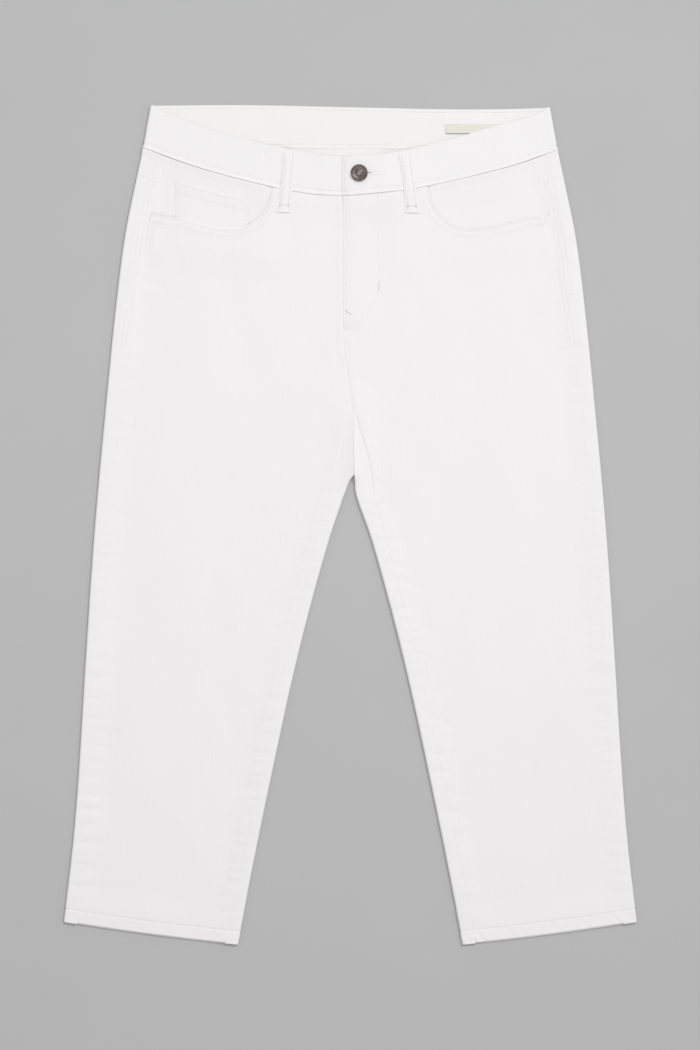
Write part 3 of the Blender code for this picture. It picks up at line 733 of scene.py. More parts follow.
def fly_relief(x, y):
    """The wearer's left front at the fly: the facing's edge, its stitched J and the crotch rows."""
    path = path_of(FLY_STITCH)
    edge_x = np.interp(y, path[::-1, 1], path[::-1, 0])
    inside = smooth((edge_x + 2.5 - x) / 3.0) * smooth((y - path[-1, 1] + 2.0) / 3.0)
    near = fly_side(x, y)
    below = fade((y - CROTCH_ROWS_TOP) / 4.0)
    above_crotch = smooth((y - CROTCH[1] - 2.0) / 5.0)
    rise = groove(path_distance(x, y, path), 0.4, 1.0) + 0.4 * inside
    rise += (grooves(near, CROTCH_ROWS) + ledge(near, 0.4, 6.4)) * below * above_crotch
    return rise + (groove(near - FLY_ROW, 0.16) + groove(near, 0.95, 4.5)) * (1 - below)


def waist_relief(x, y):
    """The body dips into the waistband's seam, with short gathers under it."""
    from_band = below_band(x, y)
    return groove(from_band, 0.14, 0.8) + puckers(from_band, x, -212.0, 212.0, 90, 7.0, 7.0, 0.16)


def meet_band(x, y, rise):
    """How far a piece's face rises, or is pressed down, to meet the waistband's seam."""
    return rise * fade(below_band(x, y) / MEET_REACH)


def front_relief(side, x, y):
    """Everything that stands out of, or is pulled into, a front leg's outer face."""
    low = below_crotch(y)
    from_inseam = inseam_distance(x, y)
    from_pocket = pocket_distance(x, y)
    from_fly = fly_side(x, y)
    rise = soft_forms(CREASES, x, y) + unevenness(x, y) + side_relief(side, x, y)
    rise += inseam_relief(side, x, y) + hem_relief(x, y) + waist_relief(x, y)
    allowance = blend(0.12, 0.4 if side > 0 else 0.12, smooth((y - 20.0) / 40.0))
    rise += (ledge(from_inseam, allowance, 8.8) + groove(from_inseam - FAR_ROW, 0.12)) * low
    rise += grooves(from_pocket, (NEAR_ROW, FAR_ROW)) + ledge(from_pocket, 0.3, 8.6)
    pressed = POCKET_END_PRESSED * fade(seam_distance(x, y) / 9.0)
    rise += (meet_band(x, y, FRONT_MEET) - pressed) * over_facing(x, y)
    if side > 0:
        rise += fly_relief(x, y) * smooth((y - CROTCH[1]) / 4.0)
    else:
        rise += groove(from_pocket, 1.0, 2.4) * (1 - toward_side(-x))
        rise += 0.5 * bell(-from_fly - 3.0, 2.6) * smooth((y - 150.0) / 20.0)
    return rise + groove(from_fly, 0.8, 2.2) * bell(y - CROTCH[1] - 4.0, 20.0) * (1 - low)


def under_relief(side, x, y):
    """What is pulled into the underside, all of it above the surface that it lies on."""
    from_yoke = YOKE_SIDE - (YOKE_SIDE - YOKE_CENTRE) * (1 - np.abs(x) / OUTLINE.at(y)) - y
    from_centre = side * (x - CENTRE_BACK.at(y))
    rows = (NEAR_ROW, FAR_ROW)
    rise = groove(above_hem(x, y) - HEM_DEPTH, 0.35, 1.1) + grooves(from_yoke, rows, 0.3)
    return rise + grooves(from_centre, rows, 0.3) * smooth((y - CROTCH[1]) / 10.0)


def body_relief(side, x, y, upper):
    """Relief of a panel that runs round the folds, upper being 1 on the upper side."""
    on_top = side_relief(side, x, y) + inseam_relief(side, x, y) + hem_relief(x, y)
    on_top += strip_relief(side, x, y) * (seam_distance(x, y) > -STRIP_WIDTH)
    on_top += soft_forms(CREASES, x, y) + unevenness(x, y)
    return on_top * upper + under_relief(side, x, y) * (1 - upper)


def yoke_relief(side, x, y):
    rise = side_relief(side, x, y) + strip_relief(side, x, y) + waist_relief(x, y)
    return rise + meet_band(x, y, YOKE_MEET)


# ---------------------------------------------------------------- meshes


def add_object(name, data):
    made = bpy.data.objects.new(name, data)
    bpy.context.scene.collection.objects.link(made)
    return made


def add_quads(name, points, quads, finish):
    """An object from points in millimetres and faces of four points each."""
    mesh = bpy.data.meshes.new(name)
    mesh.vertices.add(len(points))
    mesh.vertices.foreach_set("co", (points * MM).ravel())
    mesh.loops.add(quads.size)
    mesh.loops.foreach_set("vertex_index", quads.ravel().astype(np.int32))
    mesh.polygons.add(len(quads))
    mesh.polygons.foreach_set("loop_start", np.arange(0, quads.size, 4, dtype=np.int32))
    mesh.update(calc_edges=True)
    mesh.validate()
    mesh.materials.append(finish)
    mesh.shade_smooth()
    return add_object(name, mesh)


def tube_quads(rings, sides):
    """Faces between rings of points that follow each other."""
    quads = []
    for r in range(rings - 1):
        for s in range(sides):
            t = (s + 1) % sides
            quads.append((r * sides + s, r * sides + t, (r + 1) * sides + t, (r + 1) * sides + s))
    return quads


def full_cells(present):
    """The cells of a grid whose four points are all present."""
    return present[:-1, :-1] & present[:-1, 1:] & present[1:, 1:] & present[1:, :-1]


def wall_quads(present, flip):
    """Faces of a closed wall over the present points of a grid: outer face, inner face and rim."""
    number = np.cumsum(present).reshape(present.shape) - 1
    count = int(present.sum())
    cells = full_cells(present)
    padded = np.pad(cells, 1)
    a, b, c, d = number[:-1, :-1], number[:-1, 1:], number[1:, 1:], number[1:, :-1]
    faces = [np.stack([a, b, c, d], -1)[cells], np.stack([d, c, b, a], -1)[cells] + count]
    edges = (
        (a, b, padded[:-2, 1:-1]),
        (b, c, padded[1:-1, 2:]),
        (c, d, padded[2:, 1:-1]),
        (d, a, padded[1:-1, :-2]),
    )
    for start, end, beyond in edges:
        rim = cells & ~beyond
        faces.append(np.stack([end, start, start + count, end + count], -1)[rim])
    quads = np.concatenate(faces)
    return quads[:, ::-1] if flip else quads


def reach_along(points, axis):
    """Distances of a grid's points from its first row or column and from its last."""
    steps = np.linalg.norm(np.diff(points, axis=axis), axis=-1)
    reach = np.insert(np.cumsum(steps, axis=axis), 0, 0.0, axis=axis)
    return reach, np.take(reach, [-1], axis=axis) - reach


def border_fall(points, radii):
    """How far a face falls towards its grid's borders, each rolled by its own radius or radii.

    radii are those of the first row, the last row, the first column and the last column.
    """
    fall = np.zeros(points.shape[:2])
    for distance, radius in zip(reach_along(points, 0) + reach_along(points, 1), radii):
        inside = np.clip(radius - distance, 0.0, radius)
        fall = np.maximum(fall, radius - np.sqrt(radius**2 - inside**2))
    return fall


def add_wall(node, points, out, thickness, finish, relief, radii, inner_relief=0.0, present=True, flip=False):
    """A node's closed wall of cloth from a grid of points on its outer face and the way out of it."""
    present = np.broadcast_to(present, points.shape[:2])
    outer_shift = relief - border_fall(points, radii)
    inner_shift = np.broadcast_to(thickness + inner_relief, present.shape)
    outer = points + out * outer_shift[..., None]
    inner = points - out * inner_shift[..., None]
    both = np.concatenate([outer[present], inner[present]])
    made = add_quads(f"{node}_cloth", both, wall_quads(present, flip), finish)
    made.data.set_sharp_from_angle(angle=SHARP)
    return made


def refinish(made, finish, where):
    """Give the faces for which a test is true another finish."""
    made.data.materials.append(finish)
    for face in made.data.polygons:
        if where(face):
            face.material_index = 1


def use_inside(made, above):
    """Give the inside of a wall's lowest run, which starts this high, the inside's finish."""
    low, high = above * MM, BAND_FRONT * MM
    refinish(made, BAND_LINING, lambda face: low < face.center.z < high and face.normal.z > 0.3)


def cut_size(points, present):
    """Width and length of the cloth in a grid, and its area, in metres."""
    present = np.broadcast_to(present, points.shape[:2])
    across = np.linalg.norm(np.diff(points, axis=1), axis=-1)
    upward = np.linalg.norm(np.diff(points, axis=0), axis=-1)
    width = np.where(present[:, 1:] & present[:, :-1], across, 0.0).sum(axis=1).max()
    length = np.where(present[1:] & present[:-1], upward, 0.0).sum(axis=0).max()
    diagonals = points[1:, 1:] - points[:-1, :-1], points[1:, :-1] - points[:-1, 1:]
    areas = np.linalg.norm(np.cross(*diagonals), axis=-1) / 2
    return width * MM, length * MM, float(areas[full_cells(present)].sum()) * MM * MM


def dress(piece, node=None):
    """Tie a piece to the body, and hide the imported node that it stands for."""
    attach(piece, BODY)
    if node:
        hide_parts(node)
    return piece


def complete(made, node, points, sewing=None, present=True, turned_in=(0.0, 0.0)):
    """Tie a piece and its stitches to the body and hide its node. The size of its cut, with what its edges
    turn in, is worked out and not used.
    """
    dress(made, node)
    sewn = [dress(sewing.make(f"{node}_stitches"))] if sewing else []
    width, length, area = cut_size(points, present)
    width, length = width + turned_in[0] * MM, length + turned_in[1] * MM
    return made


class Sewing:
    """Rounded threads gathered for one piece of cloth, made as one mesh."""

    sides = 6
    shares = np.array((0.0, 0.16, 0.84, 1.0))
    girths = np.array((0.5, 1.0, 1.0, 0.5))
    sinks = np.array((-1.1, 0.0, 0.0, -1.1))

    def __init__(self):
        self.threads = []

    def thread(self, starts, ends, ups, radius):
        self.threads.append((starts, ends, np.broadcast_to(ups, starts.shape), np.full(len(starts), radius)))

    def row(self, path, ups=UP, pitch=STITCH_PITCH, length=STITCH_LENGTH, radius=THREAD_RADIUS):
        """A row of stitches along a path in space."""
        at = lengths(path)
        count = max(1, int(at[-1] / pitch))
        starts = (np.arange(count) + 0.5) * at[-1] / count - length / 2
        ups = np.broadcast_to(ups, path.shape)
        self.thread(pick(path, at, starts), pick(path, at, starts + length), pick(ups, at, starts), radius)

    def tack(self, start, end, radius=TACK_THREAD):
        """A bar tack: threads side by side across a short line in space."""
        along = unit(end - start)
        aside = np.cross(UP, along) * TACK_WIDTH / 2
        count = max(3, int(np.linalg.norm(end - start) / TACK_PITCH))
        middle = start + (end - start) * np.linspace(0, 1, count)[:, None] + UP * ROW_ABOVE
        tilt = along * TACK_PITCH * 0.4
        self.thread(middle - aside - tilt, middle + aside + tilt, UP, radius)

    def make(self, name):
        starts, ends, ups, radii = [np.concatenate(part) for part in zip(*self.threads)]
        along = ends - starts
        aside = unit(np.cross(along, ups))
        above = unit(np.cross(aside, along))
        turn = 2 * math.pi * np.arange(self.sides) / self.sides
        ring = (
            aside[:, None, None] * np.cos(turn)[None, None, :, None]
            + above[:, None, None] * np.sin(turn)[None, None, :, None]
        )
        centre = starts[:, None] + along[:, None] * self.shares[None, :, None]
        centre = centre + above[:, None] * (self.sinks[None, :, None] * radii[:, None, None])
        points = centre[:, :, None] + ring * self.girths[None, :, None, None] * radii[:, None, None, None]
        rings = len(self.shares)
        last = (rings - 1) * self.sides
        caps = [(3, 2, 1, 0), (0, 5, 4, 3)]
        caps += [(last, last + 1, last + 2, last + 3), (last + 3, last + 4, last + 5, last)]
        firsts = np.arange(len(starts)) * rings * self.sides
        quads = np.array(tube_quads(rings, self.sides) + caps)[None] + firsts[:, None, None]
        return add_quads(name, points.reshape(-1, 3), quads.reshape(-1, 4)[:, ::-1], THREAD)


# ---------------------------------------------------------------- materials


class Finish:
    """A material, with the few kinds of nodes that its patterns are built from."""

    def __init__(self, name):
        self.material = bpy.data.materials.new(name)
        self.material.use_nodes = True
        self.tree = self.material.node_tree

    def fill(self, node, inputs):
        """Set a node's inputs, each to a value or to another node's output."""
        for name, value in inputs.items():
            if isinstance(value, bpy.types.NodeSocket):
                self.tree.links.new(value, node.inputs[name])
            else:
                node.inputs[name].default_value = value

    def node(self, kind, output, inputs, **settings):
        """The output of a new node."""
        node = self.tree.nodes.new("ShaderNode" + kind)
        for name, value in settings.items():
            setattr(node, name, value)
        self.fill(node, inputs)
        return node.outputs[output]

    def math(self, operation, *values):
        return self.node("Math", 0, dict(enumerate(values)), operation=operation)

    def mixed(self, first, first_share, second, second_share):
        """The sum of two patterns, each times its share."""
        parts = self.math("MULTIPLY", first, first_share), self.math("MULTIPLY", second, second_share)
        return self.math("ADD", *parts)

    def place(self, scale, turn=0.0):
        """The place on the piece in units of 1 mm times the scale, turned in plan."""
        scale = scale if isinstance(scale, tuple) else (scale,) * 3
        inputs = {
            "Vector": self.node("TexCoord", "Object", {}),
            "Rotation": (0.0, 0.0, turn),
            "Scale": [1000.0 * s for s in scale],
        }
        return self.node("Mapping", "Vector", inputs)

    def noise(self, scale, detail=2.0, roughness=0.5, turn=0.0):
        inputs = {"Vector": self.place(scale, turn), "Scale": 1.0, "Detail": detail, "Roughness": roughness}
        return self.node("TexNoise", "Fac", inputs)

    def wave(self, place_output, direction, period):
        """A sine wave across the place, 1 high, with crests a period apart."""
        length = math.hypot(*direction)
        turns = [d / length * 2 * math.pi / period for d in direction]
        inputs = {0: place_output, 1: turns + [0.0]}
        return self.math("SINE", self.node("VectorMath", "Value", inputs, operation="DOT_PRODUCT"))

    def made(self, value, low, high, height=None, depth=0.0, **inputs):
        """The material: two tones mixed by a value, relief this deep, and the shader's other inputs."""
        tones = {"A": low + (1.0,), "B": high + (1.0,), "Factor": value}
        found = {"Base Color": self.node("Mix", "Result", tones, data_type="RGBA")}
        if height is not None:
            bump = {"Strength": 1.0, "Distance": depth * MM, "Height": height}
            found["Normal"] = self.node("Bump", "Normal", bump)
        found.update({name.replace("_", " "): value for name, value in inputs.items()})
        self.fill(self.tree.nodes["Principled BSDF"], found)
        return self.material


def twill(name, low, high, turn=0.0):
    """Brushed cotton twill: fine diagonal ribs, slubs along the warp and a soft nap."""
    finish = Finish(name)
    fine = finish.place(1.0, turn)
    slubs = finish.noise((0.55, 0.035, 0.3), 3.0, 0.6, turn)
    fuzz = finish.noise(2.2, 3.0, 0.7)
    cloud = finish.noise((0.02, 0.012, 0.02))
    ribs = finish.wave(fine, (0.83, -0.56), 0.85)
    threads = finish.wave(fine, (0.12, 1.0), 0.62)
    height = finish.math("ADD", finish.mixed(ribs, 0.5, threads, 0.25), finish.mixed(slubs, 1.5, fuzz, 1.2))
    return finish.made(
        finish.mixed(slubs, 0.55, cloud, 0.45), low, high, height, 0.05,
        Roughness=0.92, Sheen_Weight=0.25, Sheen_Roughness=0.5, Specular_IOR_Level=0.25,
    )


def sewing_thread():
    finish = Finish("white_thread")
    twist = finish.wave(finish.place(1.0), (0.7, 0.7), 0.4)
    return finish.made(finish.noise(0.8), (0.83, 0.817, 0.822), (0.9, 0.886, 0.892), twist, 0.03,
                       Roughness=0.6, Sheen_Weight=0.2)


def woven_label():
    """Cream satin ribbon with its fine cross ribs."""
    finish = Finish("cream_label")
    fine = finish.place(1.0)
    ribs = finish.wave(fine, (0.0, 1.0), 0.45)
    picks = finish.wave(fine, (1.0, 0.0), 0.7)
    fuzz = finish.noise(1.4, 3.0)
    height = finish.mixed(ribs, 0.5, finish.math("MULTIPLY", picks, ribs), 0.4)
    return finish.made(fuzz, (0.73, 0.7, 0.62), (0.82, 0.79, 0.72), finish.math("ADD", height, fuzz), 0.04,
                       Roughness=0.6, Sheen_Weight=0.3)


def painted_label_shadow():
    """Painted shadow: a dark brown strip along the label's lower edge, standing in for the shade under that
    edge.
    """
    finish = Finish("brown_painted_label_shadow")
    picks = finish.wave(finish.place(1.0), (1.0, 0.0), 0.7)
    return finish.made(picks, (0.12, 0.09, 0.07), (0.24, 0.2, 0.16), picks, 0.05, Roughness=0.8)


def antique_metal(name, low, high):
    """Dark plated metal, worn lighter in fine specks."""
    finish = Finish(name)
    specks = finish.noise(1.1, 4.0, 0.75)
    worn = finish.node("MapRange", "Result", {"From Min": 0.5, "From Max": 0.62, "Value": specks})
    uneven = finish.math("ADD", finish.math("MULTIPLY", specks, 0.35), 0.2)
    return finish.made(worn, low, high, specks, 0.06, Roughness=uneven, Metallic=0.9)


DENIM = twill("white_denim", (0.835, 0.82, 0.8275), (0.885, 0.869, 0.877))
BAND_DENIM = twill("white_denim_band", (0.84, 0.829, 0.829), (0.89, 0.878, 0.878), math.pi / 2)
BAND_LINING = twill("white_denim_inside", (0.84, 0.832, 0.827), (0.89, 0.881, 0.876), math.pi / 2)
LOOP_DENIM = twill("white_denim_loop", (0.84, 0.826, 0.831), (0.89, 0.875, 0.88))
THREAD = sewing_thread()
LABEL = woven_label()
# Dark brown finish that paints the shadow under the label's lower edge
LABEL_PAINTED_SHADOW = painted_label_shadow()
METAL = antique_metal("antique_metal", (0.075, 0.055, 0.05), (0.42, 0.37, 0.35))
WORN_METAL = antique_metal("worn_metal", (0.3, 0.26, 0.25), (0.66, 0.6, 0.58))


# ---------------------------------------------------------------- leg panels


def plan(x, y):
    return np.stack([x, y], axis=-1)


def right_of(path):
    """The way to the right of a plan path at each of its points."""
    along = unit(np.gradient(path, axis=0))
    return plan(along[:, 1], -along[:, 0])


def leg_shares():
    """Shares of a leg's sections up from the hem, close together at the hem's edge."""
    hem_top = HEM_DEPTH + 4.0
    hem = EDGE_STEPS + tuple(steps_between(EDGE, hem_top, HEM_STEP)[1:])
    leg = tuple(steps_between(hem_top, LEG_LENGTH, ROW_STEP))
    return np.array(hem + leg + (LEG_LENGTH,)) / LEG_LENGTH


def hip_shares(fine_from, fine):
    """Shares of the rows above the leg, which lie closer together from some height on."""
    places = steps_between(0.0, fine_from, ROW_STEP) + steps_between(fine_from, HIP_LENGTH - EDGE, fine)
    return np.array(places + [HIP_LENGTH - step for step in EDGE_STEPS[::-1]]) / HIP_LENGTH


def leg_folds(side, t):
    """Plan positions of a leg's side and inner folds up from the hem, and the way between them."""
    outer_y, inner_y = blend(HEM_OUTER, STRIP_TOP, t), blend(HEM_INNER, STRIP_TOP, t)
    outer = plan(side * OUTLINE.at(outer_y), outer_y)
    inner = plan(LEG_SPACE.at(inner_y, "middle") + side * (LEG_SPACE.at(inner_y) + CLOSE_SEAM), inner_y)
    return outer, inner, unit(inner - outer)


def leg_thickness(x, y):
    return np.where(above_hem(x, y) < HEM_DEPTH, HEM_CLOTH, CLOTH)


def ruled(start, end, shares):
    """Plan points from one line to another."""
    return start[:, None] * (1 - shares)[None, :, None] + end[:, None] * shares[None, :, None]


def coons(low, high, left, right, u, v):
    """Points of the patch that four edge curves bound, u across and v up."""
    u, v = u[None, :, None], v[:, None, None]
    ruled_up = low[None] * (1 - v) + high[None] * v
    ruled_across = left[:, None] * (1 - u) + right[:, None] * u
    low_corners = low[0] * (1 - u) + low[-1] * u
    high_corners = high[0] * (1 - u) + high[-1] * u
    return ruled_up + ruled_across - low_corners * (1 - v) - high_corners * v


def side_seam(side, y):
    return plan(side * (seam_across(y) - CLOSE_SEAM), y)


def front_centre(side, y):
    """Plan positions of a front's edge at the centre front."""
    under = (UNDERLAP if side < 0 else 0.0) * smooth((y - FLY_END) / STEP_REACH)
    gap = np.where(under < SEAM, SEAM / 2 * side, 0.0)
    return plan(CENTRE_FRONT.at(y) + gap + under, y)


def front_edge(side):
    """A front's top edge as a path from the side seam round the scoop to the centre front.

    Also gives the number of the point where the scoop ends and the waistband's seam begins.
    """
    scoop = pocket_path()[::-1]
    scoop[0] = side_seam(1, scoop[0, 1])
    end = CENTRE_FRONT.at(WAIST_AT_FRONT) + (UNDERLAP if side < 0 else SEAM / 2)
    x = np.linspace(side * POCKET_EDGE.keys[0], end, 60)
    waist = plan(x, BAND_LOW.at(x) - SEAM)
    scoop = scoop[scoop[:, 1] < waist[0, 1] - 0.5] * (side, 1)
    return np.concatenate([scoop, waist]), len(scoop)


def front_spots(side):
    """Plan positions of a front's grid, and which of its columns end at the pocket's edge.

    The rows run up from the hem, and the columns inwards from the side seam. One column ends where the
    pocket's edge meets the waistband.
    """
    edge, corner = front_edge(side)
    along = lengths(edge)
    corner_share = along[corner] / along[-1]
    columns = graded(205.0, 24.0, 46.0)
    columns[np.argmin(np.abs(columns - corner_share))] = corner_share
    t = leg_shares()
    outer, inner, inward = leg_folds(side, t)
    start = outer + inward * (SIDE_SEAM.at(outer[:, 1]) + CLOSE_SEAM)[:, None]
    end = inner - inward * (INSEAM.at(inner[:, 1]) + CLOSE_SEAM)[:, None]
    leg = ruled(start, end, columns)
    peek = HEM_PEEK * np.clip(1 - t * LEG_LENGTH / HEM_PEEK_REACH, 0.0, 1.0)
    leg[..., 1] += peek[:, None]
    v = hip_shares(HIP_FINE_FROM, FINE)
    left = side_seam(side, blend(STRIP_TOP + SEAM, edge[0, 1], v))
    right = front_centre(side, blend(STRIP_TOP + SEAM, edge[-1, 1], v))
    low = ruled(left[:1], right[:1], columns)[0]
    hip = coons(low, on_path(edge, columns), left, right, columns, v)
    return np.concatenate([leg, hip]), columns < corner_share


def sew_front(side):
    """The rows of stitches and tacks on a front leg."""
    sewing = Sewing()

    def laid(x, y, above=ROW_ABOVE):
        return place(x, y, front_top(side, x, y) + front_relief(side, x, y) + above)

    y = np.arange(*INSEAM_ROW_SPAN, ROW_POINTS)
    beside = LEG_SPACE.at(y) + INSEAM.at(y) + FAR_ROW
    sewing.row(laid(LEG_SPACE.at(y, "middle") + side * beside, y, -0.08))
    x = np.arange(*FRONT_HEM, ROW_POINTS)
    sewing.row(laid(side * x, hem_height(x) + HEM_DEPTH))
    scoop = pocket_path()
    for row in (NEAR_ROW, FAR_ROW):
        x, y = (scoop + right_of(scoop) * row).T
        keep = (below_band(side * x, y) > ROW_CLEAR) & (x < POCKET_ROWS_END)
        sewing.row(laid(side * x[keep], y[keep]))
    if side > 0:
        sewing.row(laid(*path_of(FLY_STITCH).T))
        rows = [(row, CROTCH[1] + 6.0, CROTCH_ROWS_TOP) for row in CROTCH_ROWS]
        for row, low, high in rows + [(FLY_ROW, *FLY_ROW_SPAN)]:
            y = np.arange(low, high, ROW_POINTS)
            sewing.row(laid(CENTRE_FRONT.at(y) + row, y))
        for ends in FLY_TACKS:
            sewing.tack(*laid(*np.array(ends).T, TACK_ABOVE))
    spots = laid(*(np.array(POCKET_TACK) * (side, 1)).T, TACK_ABOVE)
    sewing.thread(spots[:-1], spots[1:], UP, 0.3)
    return sewing


def add_front(side, wearer):
    node = f"front_leg_{wearer}"
    spots, at_pocket = front_spots(side)
    x, y = spots[..., 0], spots[..., 1]
    points = place(x, y, front_top(side, x, y))
    top_radii = np.where(at_pocket, POCKET_EDGE_RADIUS, SEAM_RADIUS)
    radii = (HEM_RADIUS, top_radii, FLAT_SEAM_RADIUS, FLAT_SEAM_RADIUS)
    made = add_wall(node, points, UP, leg_thickness(x, y), DENIM, front_relief(side, x, y), radii,
                    flip=side > 0)
    return complete(made, node, points, sew_front(side))


def strip(outer, inward, inset, shares, tight=0.0):
    """A panel's stretch from its seam over the upper side and round the fold to the underside.

    Gives the points, the way out of the cloth, and how much each point belongs to the upper side. The
    fold is round, and where tight is 1 it is pressed against another fold.
    """
    back_to_seam = blend(inset, FOLD_RADIUS, np.array(shares)[:, None])
    flat = outer[:, None] + inward[:, None] * back_to_seam.T[..., None]
    x, y = flat[..., 0], flat[..., 1]
    top = place(x, y, body_top(x, y))
    sine, cosine = np.sin(FOLD_TURNS)[None, :], np.cos(FOLD_TURNS)[None, :]
    power = blend(1.0, TIGHT_POWER, np.broadcast_to(tight, len(outer))[:, None])
    from_fold = FOLD_RADIUS * (1 - np.abs(sine) ** power)
    round_fold = outer[:, None] + inward[:, None] * from_fold[..., None]
    height = FOLD_RADIUS * (1 + np.sign(cosine) * np.abs(cosine) ** power)
    fold = place(round_fold[..., 0], round_fold[..., 1], height)
    fold_out = np.stack([-inward[:, :1] * sine, -inward[:, 1:] * sine, cosine + 0 * height], axis=-1)
    parts = (
        (top, fold),
        (np.broadcast_to(UP, top.shape), fold_out),
        (np.ones(x.shape), np.broadcast_to((1 + cosine) / 2, height.shape)),
    )
    return [np.concatenate(part, axis=1) for part in parts]


def underside(start, end, shares):
    """The stretch that lies on the surface, between two plan lines."""
    spots = ruled(start, end, shares)
    points = place(spots[..., 0], spots[..., 1], 0.0)
    return points, np.broadcast_to(-UP, points.shape), np.zeros(points.shape[:2])


def seat_rows(side, lows, highs, shares):
    """Rows of the seat: the side strip, the side fold and the underside to the centre back.

    Lows and highs are the heights of the first and last row at the side fold, at the centre back and at
    the side seam.
    """
    outer_y, centre_y, seam_y = [blend(low, high, shares) for low, high in zip(lows, highs)]
    outer = plan(side * OUTLINE.at(outer_y), outer_y)
    centre = plan(CENTRE_BACK.at(centre_y) + side * SEAM / 2, centre_y)
    inward = unit(centre - outer)
    toward_seam = plan(side * seam_across(seam_y), seam_y) - outer
    inset = np.linalg.norm(toward_seam, axis=-1)
    side_part = strip(outer, toward_seam / inset[:, None], inset, SIDE_STRIP_SHARES)
    under = underside(outer + inward * FOLD_RADIUS, centre, SEAT_SHARES)
    return [np.concatenate([a, b], axis=1) for a, b in zip(side_part, under)]


def back_leg_grid(side):
    """A back leg's grid from the side seam round both folds to the inseam, and up the seat."""
    outer, inner, inward = leg_folds(side, leg_shares())
    side_part = strip(outer, inward, SIDE_SEAM.at(outer[:, 1]), SIDE_STRIP_SHARES)
    tight = fade(LEG_SPACE.at(inner[:, 1]) / TIGHT_REACH)
    inner_part = strip(inner, -inward, INSEAM.at(inner[:, 1]), INNER_STRIP_SHARES, tight)
    under = underside(outer + inward * FOLD_RADIUS, inner - inward * FOLD_RADIUS, UNDER_SHARES)
    leg = [np.concatenate([a, b, c[:, ::-1]], axis=1) for a, b, c in zip(side_part, under, inner_part)]
    seat = seat_rows(side, (STRIP_TOP,) * 3, YOKE_LINE - SEAM, hip_shares(SEAT_RIBS, RIB_STEP)[1:])
    missing = leg[0].shape[1] - seat[0].shape[1]
    grids = []
    for low, high in zip(leg, seat):
        padding = ((0, 0), (0, missing)) + ((0, 0),) * (high.ndim - 2)
        grids.append(np.concatenate([low, np.pad(high, padding, mode="edge")]))
    present = np.ones(grids[0].shape[:2], bool)
    present[len(outer):, -missing:] = False
    return grids, present


def side_row(side, row, start, end):
    """Plan positions of one of the side seam's rows between two heights."""
    y = np.arange(start, end, ROW_POINTS)
    return side * (seam_across(y) + row), y


def yoke_line(row):
    """Height of the yoke's seam on the side strip, this far from the side seam."""
    return blend(YOKE_SEAM, YOKE_SIDE, row / SIDE_SEAM.at(YOKE_SEAM))


def sew_lines(lines, face):
    """Rows of stitches along plan lines on a face of this height."""
    sewing = Sewing()
    for x, y in lines:
        sewing.row(place(x, y, face(x, y) + ROW_ABOVE))
    return sewing


def add_back(side, wearer):
    node = f"back_leg_{wearer}"
    (points, out, upper), present = back_leg_grid(side)
    x, y = points[..., 0], points[..., 1]
    points = points + UP * (folds_meet(x, y) * upper)[..., None]
    radii = (HEM_RADIUS, SEAM_RADIUS, FLAT_SEAM_RADIUS, FLAT_SEAM_RADIUS)
    made = add_wall(node, points, out, leg_thickness(x, y), DENIM, body_relief(side, x, y, upper), radii,
                    present=present, flip=side < 0)
    lines = [side_row(side, row, SIDE_ROWS_END, yoke_line(row) - ROW_CLEAR) for row in SIDE_ROWS]
    for start, end in STRIP_HEMS:
        x = np.arange(start, end, ROW_POINTS)
        lines.append((side * x, hem_height(x) + HEM_DEPTH))
    sewing = sew_lines(lines, lambda x, y: body_top(x, y) + body_relief(side, x, y, 1.0))
    return complete(made, node, points, sewing, present=present)


def add_yoke(side, wearer):
    node = f"yoke_{wearer}"
    band_low = BAND_LOW.at(side * seam_across(BAND_BACK_LOW))
    highs = np.array((BAND_BACK_LOW, BAND_BACK_LOW, band_low)) - SEAM
    t = graded(76.0, 10.0, 10.0, coarse=2.4)
    points, out, upper = seat_rows(side, YOKE_LINE, highs, t)
    x, y = points[..., 0], points[..., 1]
    inside = YOKE_INSIDE * smooth((t[:, None] - 0.75) / 0.2) * (1 - upper)
    radii = (SEAM_RADIUS, SEAM_RADIUS, FLAT_SEAM_RADIUS, SEAM_RADIUS)
    made = add_wall(node, points, out, CLOTH, DENIM, yoke_relief(side, x, y) * upper, radii, inside,
                    flip=side < 0)
    use_inside(made, 0.5 * (CLOTH + YOKE_INSIDE))
    lines = []
    for row in SIDE_ROWS:
        top = BAND_LOW.at(side * (seam_across(WAIST_AT_SIDE) + row))
        lines.append(side_row(side, row, yoke_line(row) + ROW_CLEAR, top - 2.0))
    sewing = sew_lines(lines, lambda x, y: body_top(x, y) + yoke_relief(side, x, y))
    return complete(made, node, points, sewing)


# ---------------------------------------------------------------- pockets


